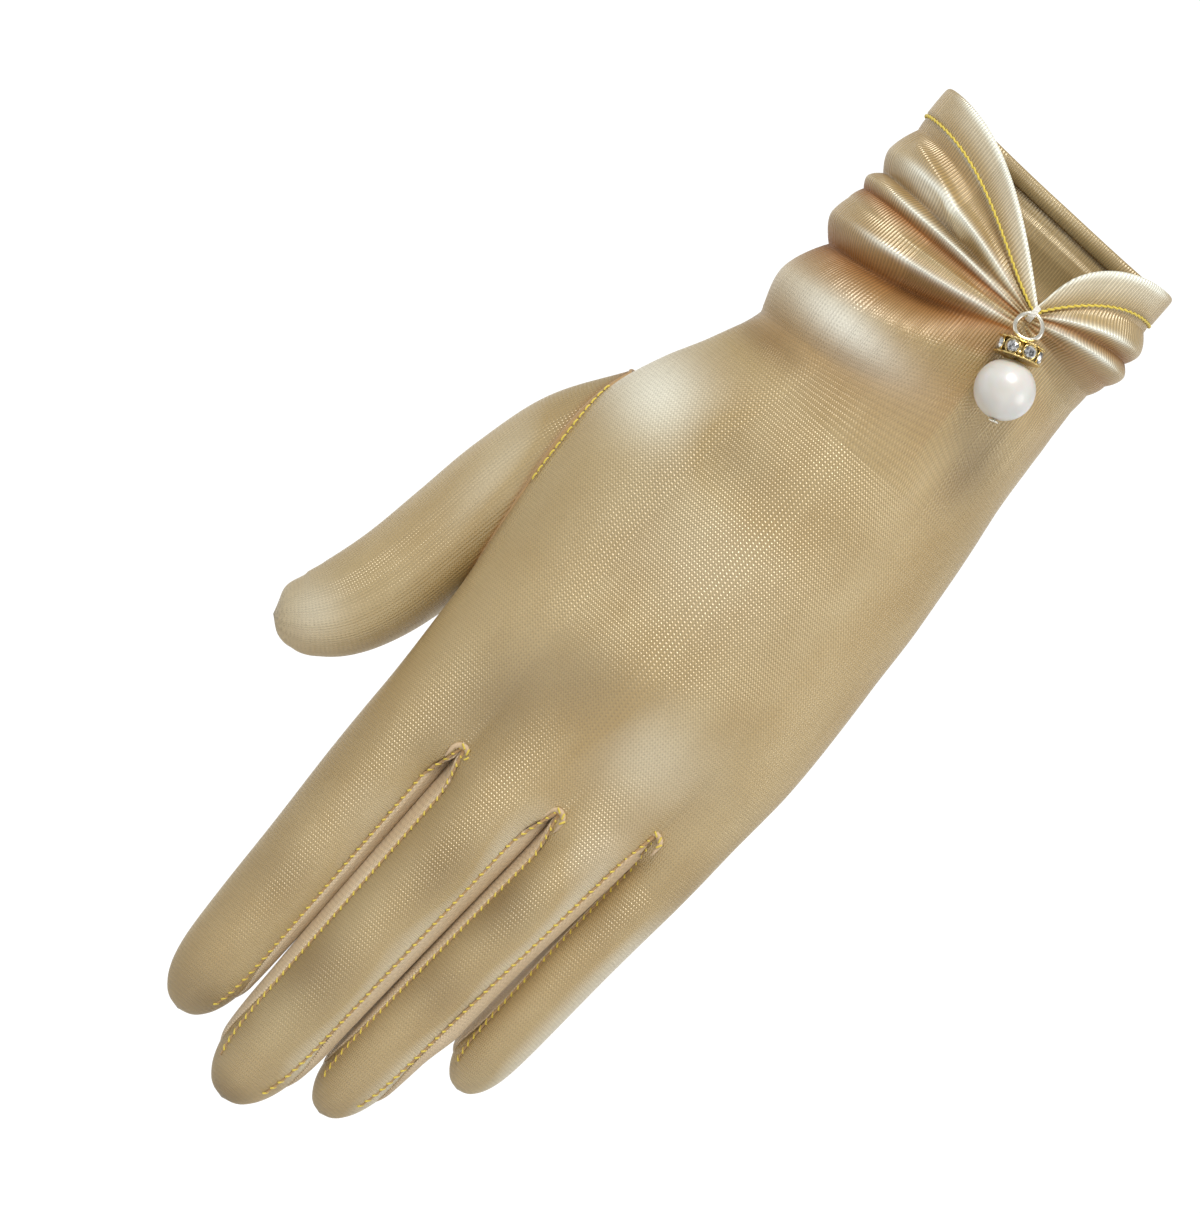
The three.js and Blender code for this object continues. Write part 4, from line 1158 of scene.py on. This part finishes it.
def makeThumbSeam():
    line = [thumbPoint(turn, start) for turn, start in zip(thumbTurns, thumbExits)]
    line = [line[i].lerp(line[(i + 1) % len(line)], k / 3) for i in range(len(line)) for k in range(3)]
    front, sizes = thumbSeam["front"], []
    for point in line:
        share = smooth(point.z, thumbSeam["low"], thumbSeam["high"]) * smooth(-point.y, -front, front)
        sizes.append(mix(thumbSeam["roll"], thumbSeam["gusset"], share))
    bm = bmesh.new()
    tube(bm, line, sizes, sides=12, closed=True)
    roll = placeMesh(bm, "seam_thumb", seamRoll)
    bm = bmesh.new()
    path = []
    shown = [point.y < front and point.z > thumbSeam["stitchEnd"] for point in line]
    first = next(i for i in range(len(line)) if shown[i] and not shown[i - 1])
    for i in (k % len(line) for k in range(first, first + sum(shown))):
        point = line[i]
        along = (line[(i + 1) % len(line)] - line[i - 1]).normalized()
        out = onHand(point)[1]
        side = along.cross(out).normalized()
        if side.x < 0:
            side.negate()
        spot, out = onHand(point + side * (sizes[i] + thumbSeam["away"]))
        path.append(spot + out * thumbSeam["stitchLift"])
    for middle, along in spaced(path, seams["pitch"]):
        out = onHand(middle)[1]
        stitch(bm, middle + out * thumbSeam["threadLift"], along, out, thumbSeam["stitch"], seams["radius"])
    stitches = placeMesh(bm, "stitches_thumb", seamThread)


makeThumbSeam()
print("seams made")


# Pendant, placed where the frame's own pieces lie

pendant = dict(pearlRadius=5.9 * mm, bore=1.3 * mm, rondelleRadius=4.6 * mm, rondelleHeight=3.5 * mm,
               core=2.3 * mm, flange=0.35 * mm, stones=7, stoneRadius=1.2 * mm, stoneDepth=1.8 * mm,
               wire=0.75 * mm, eye=5.8 * mm)


def middleOf(node):
    low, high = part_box(node)
    return (low + high) / 2


pearlMiddle, rondelleMiddle = middleOf("pearl"), middleOf("rondelle")
pendantUp = (rondelleMiddle - pearlMiddle).normalized()
pendantTurn = Vector((0, 0, 1)).rotation_difference(pendantUp).to_matrix().to_4x4()


def moved(bm, middle, turn):
    bmesh.ops.transform(bm, verts=bm.verts, matrix=Matrix.Translation(middle) @ turn)


def spun(profile, steps):
    bm = bmesh.new()
    points = [bm.verts.new((radius, 0, height)) for radius, height in profile]
    edges = [bm.edges.new(pair) for pair in zip(points, points[1:])]
    bmesh.ops.spin(bm, geom=points + edges, cent=(0, 0, 0), axis=(0, 0, 1), angle=2 * math.pi, steps=steps)
    bmesh.ops.remove_doubles(bm, verts=bm.verts, dist=1e-6)
    bmesh.ops.recalc_face_normals(bm, faces=bm.faces)
    return bm


pearlForm = dict(rows=40, sides=56, inwards=0.9)


def makePearl():
    radius, bore = pendant["pearlRadius"], pendant["bore"] / 2
    start, steps, inwards = math.asin(bore / radius), pearlForm["rows"], pearlForm["inwards"]
    turns = [mix(start, math.pi - start, i / steps) for i in range(steps + 1)]
    profile = [(radius * math.sin(turn), radius * math.cos(turn)) for turn in turns]
    profile = [(bore * inwards, radius * inwards), *profile, (bore * inwards, -radius * inwards)]
    bm = spun(profile, pearlForm["sides"])
    moved(bm, pearlMiddle, pendantTurn)
    piece = placeMesh(bm, "pearl_bead", pearlSkin)
    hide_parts("pearl")


rondelleForm = dict(sides=84, edge=0.1 * mm, slope=0.4 * mm, wave=0.035)


# Two thin flanges with rounded, wavy rims on a narrow core.
def makeRondelle():
    rim, core, top = pendant["rondelleRadius"], pendant["core"], pendant["rondelleHeight"] / 2
    thin, bore, edge, slope = pendant["flange"], pendant["bore"] / 2, rondelleForm["edge"], rondelleForm["slope"]
    upper = [(core, top - thin), (rim - edge, top - thin), (rim, top - thin / 2), (rim - edge, top - edge),
             (rim - slope, top), (bore, top)]
    lower = [(radius, -height) for radius, height in reversed(upper)]
    bm = spun([*lower, *upper, lower[0]], rondelleForm["sides"])
    for v in bm.verts:
        if math.hypot(v.co.x, v.co.y) > core + slope:
            wave = 1 + rondelleForm["wave"] * math.cos(2 * pendant["stones"] * math.atan2(v.co.y, v.co.x))
            v.co.x, v.co.y = v.co.x * wave, v.co.y * wave
    moved(bm, rondelleMiddle, pendantTurn)
    piece = placeMesh(bm, "rondelle_metal", gold)
    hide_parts("rondelle")


stoneForm = dict(shown=1.18, crown=0.36, girdle=(0.02 * mm, -0.03 * mm), cupGap=0.06 * mm, cupRoll=0.12 * mm,
                 cupSteps=24)


# A ring of a cut stone has its radius as a share of the girdle, its height and its turn in eighths.
def makeStones():
    for i in range(pendant["stones"]):
        node = "stone_" + str(i + 1)
        middle = middleOf(node)
        out = middle - rondelleMiddle
        out = (out - pendantUp * out.dot(pendantUp)).normalized()
        girdle, depth = pendant["stoneRadius"] * stoneForm["shown"], pendant["stoneDepth"]
        crown = stoneForm["crown"] * depth
        rings = ((0.58, crown, 0), (0.86, crown * 0.55, 0.5), (1.0, stoneForm["girdle"][0], 0),
                 (1.0, stoneForm["girdle"][1], 0), (0.5, (crown - depth) * 0.55, 0.5))
        bm = bmesh.new()
        for share, height, shift in rings:
            made = bmesh.ops.create_circle(bm, segments=8, radius=girdle * share)["verts"]
            turn = Matrix.Rotation(shift * math.pi / 4, 4, "Z")
            bmesh.ops.transform(bm, verts=made, matrix=Matrix.Translation((0, 0, height)) @ turn)
        bm.verts.new((0, 0, crown - depth))
        bmesh.ops.convex_hull(bm, input=bm.verts)
        turn = Vector((0, 0, 1)).rotation_difference(out).to_matrix().to_4x4()
        seat = middle + out * (depth / 2 - crown)
        moved(bm, seat, turn)
        piece = placeMesh(bm, "cut_" + node, crystal, flat=True)
        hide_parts(node)
        bm = bmesh.new()
        turns = [k / stoneForm["cupSteps"] * 2 * math.pi for k in range(stoneForm["cupSteps"])]
        ring = [Vector((math.cos(t), math.sin(t), 0)) * (girdle + stoneForm["cupGap"]) for t in turns]
        tube(bm, ring, stoneForm["cupRoll"], sides=8, closed=True)
        moved(bm, seat, turn)
        cup = placeMesh(bm, "cup_" + node, gold)


# The head's rows are height and radius.
pinForm = dict(headGap=0.7 * mm, eyeGap=0.3 * mm, eyeRoll=1.25, eyeSteps=48, widest=1.04, squeeze=0.08,
               head=((0.0, 0.8 * mm), (0.1 * mm, 1.1 * mm), (0.3 * mm, 1.1 * mm), (0.4 * mm, 0.9 * mm)))


def makePin():
    wire, eye = pendant["wire"] / 2, pendant["eye"] / 2 - pendant["wire"] / 2
    spacing = (rondelleMiddle - pearlMiddle).length
    bottom = -pendant["pearlRadius"] - pinForm["headGap"]
    top = spacing + pendant["rondelleHeight"] / 2 + pinForm["eyeGap"] + wire + eye
    bm = bmesh.new()
    tube(bm, [pearlMiddle + pendantUp * z for z in (bottom, top - eye)], wire, sides=12)
    tube(bm, [pearlMiddle + pendantUp * (bottom + z) for z, _ in pinForm["head"]],
         [radius for _, radius in pinForm["head"]], sides=20)
    side = pendantTurn.to_3x3() @ Vector((1, 0, 0))
    ring = []
    for i in range(pinForm["eyeSteps"]):
        turn = i / pinForm["eyeSteps"] * 2 * math.pi
        out = eye * math.cos(turn) * (pinForm["widest"] - pinForm["squeeze"] * math.sin(turn))
        ring.append(pearlMiddle + pendantUp * (top + eye * math.sin(turn)) + side * out)
    tube(bm, ring, wire * pinForm["eyeRoll"], sides=14, closed=True)
    piece = placeMesh(bm, "pin_wire", paleGold)
    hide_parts("head_pin")


# Each wrap has its shift along the hem and its size.
wraps = dict(rows=((-0.35 * mm, 0.97), (0.0, 1.0), (0.35 * mm, 0.96)), inset=0.4 * mm, eyeTop=15.8 * mm,
             steps=64, square=2.6, twists=9, strandAway=0.12 * mm, strand=0.17 * mm)


def makeThread():
    low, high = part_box("thread_tie")
    middle, half = (low + high) / 2, (high - low) / 2 - Vector((1, 1, 1)) * wraps["inset"]
    sign = 1 if (pearlMiddle + pendantUp * wraps["eyeTop"]).x > middle.x else -1
    bm = bmesh.new()
    for turnIndex, (shift, squeeze) in enumerate(wraps["rows"]):
        for strand in range(2):
            ring = []
            for i in range(wraps["steps"]):
                turn = i / wraps["steps"] * 2 * math.pi
                across, up = (power(value, 2 / wraps["square"]) for value in (math.cos(turn), math.sin(turn)))
                twist = turn * wraps["twists"] + strand * math.pi + turnIndex
                point = Vector((middle.x - sign * across * half.x + shift, middle.y + across * half.y * squeeze,
                                middle.z + up * half.z * squeeze))
                out = Vector((0, across, up)).normalized() * math.sin(twist)
                ring.append(point + (Vector((math.cos(twist), 0, 0)) + out) * wraps["strandAway"])
            tube(bm, ring, wraps["strand"], sides=7, closed=True)
    piece = placeMesh(bm, "thread_wraps", whiteThread)
    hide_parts("thread_tie")


makePearl()
makeRondelle()
makeStones()
makePin()
makeThread()
print("pendant made")


# Studio

# The backdrop is brightest level with the hand and behind it.
studio = dict(floorHeight=-0.42, floorRadius=1.4, floorSides=96, floorTone=tone(0.97, 0.97, 0.97), backdrop=1.1,
              sky=0.5, ground=0.16, band=(0.12, 0.4), behind=(-0.2, 0.5), frontShare=0.25,
              aim=(-0.01, 0.0, -0.09))


def makeStudio():
    bm = bmesh.new()
    bmesh.ops.create_circle(bm, cap_ends=True, segments=studio["floorSides"], radius=studio["floorRadius"],
                            matrix=Matrix.Translation((0, 0, studio["floorHeight"])))
    paint = newMaterial("floorPaint", Roughness=0.9, Base_Color=studio["floorTone"])[0]
    floor = meshObject(bm, "floor", paint, flat=True)
    world = bpy.data.worlds.new("world")
    world.use_nodes = True
    tree = world.node_tree
    direction = addNode(tree, "ShaderNodeTexCoord").outputs["Generated"]
    _, depth, rise = addNode(tree, "ShaderNodeSeparateXYZ", {0: direction}).outputs
    height, level = calc(tree, "MULTIPLY_ADD", rise, 0.5, 0.5), calc(tree, "ABSOLUTE", rise)

    def ranged(value, start, end, low, high, kind="LINEAR"):
        inputs = dict(enumerate((value, start, end, low, high)))
        return addNode(tree, "ShaderNodeMapRange", inputs, interpolation_type=kind).outputs[0]

    band = ranged(level, *studio["band"], 1.0, 0.0, "SMOOTHSTEP")
    behind = ranged(depth, *studio["behind"], studio["frontShare"], 1.0)
    sky = ranged(height, 0.0, 1.0, studio["ground"], studio["sky"])
    share = calc(tree, "MULTIPLY", band, behind)
    light = addNode(tree, "ShaderNodeMix", {0: share, 2: sky, 3: studio["backdrop"]}).outputs[0]
    tree.links.new(light, tree.nodes["Background"].inputs[1])
    tree.nodes["Background"].inputs[0].default_value = tone(1.0, 1.0, 1.0)
    bpy.context.scene.world = world
    bpy.context.scene.view_settings.view_transform = "Standard"


def addLight(name, place, size, power, color=(1.0, 1.0, 1.0)):
    data = bpy.data.lights.new(name, "AREA")
    data.size, data.energy, data.color = size, power, color
    light = bpy.data.objects.new(name, data)
    bpy.context.scene.collection.objects.link(light)
    light.location = place
    aim = Vector(studio["aim"]) - Vector(place)
    light.rotation_euler = aim.to_track_quat("-Z", "Y").to_euler()


makeStudio()
addLight("key", (-0.15, -0.7, 0.75), 0.4, 8.5, (1.0, 0.99, 0.97))
addLight("side", (0.8, -0.3, 0.1), 0.4, 1.4)
print("studio made")
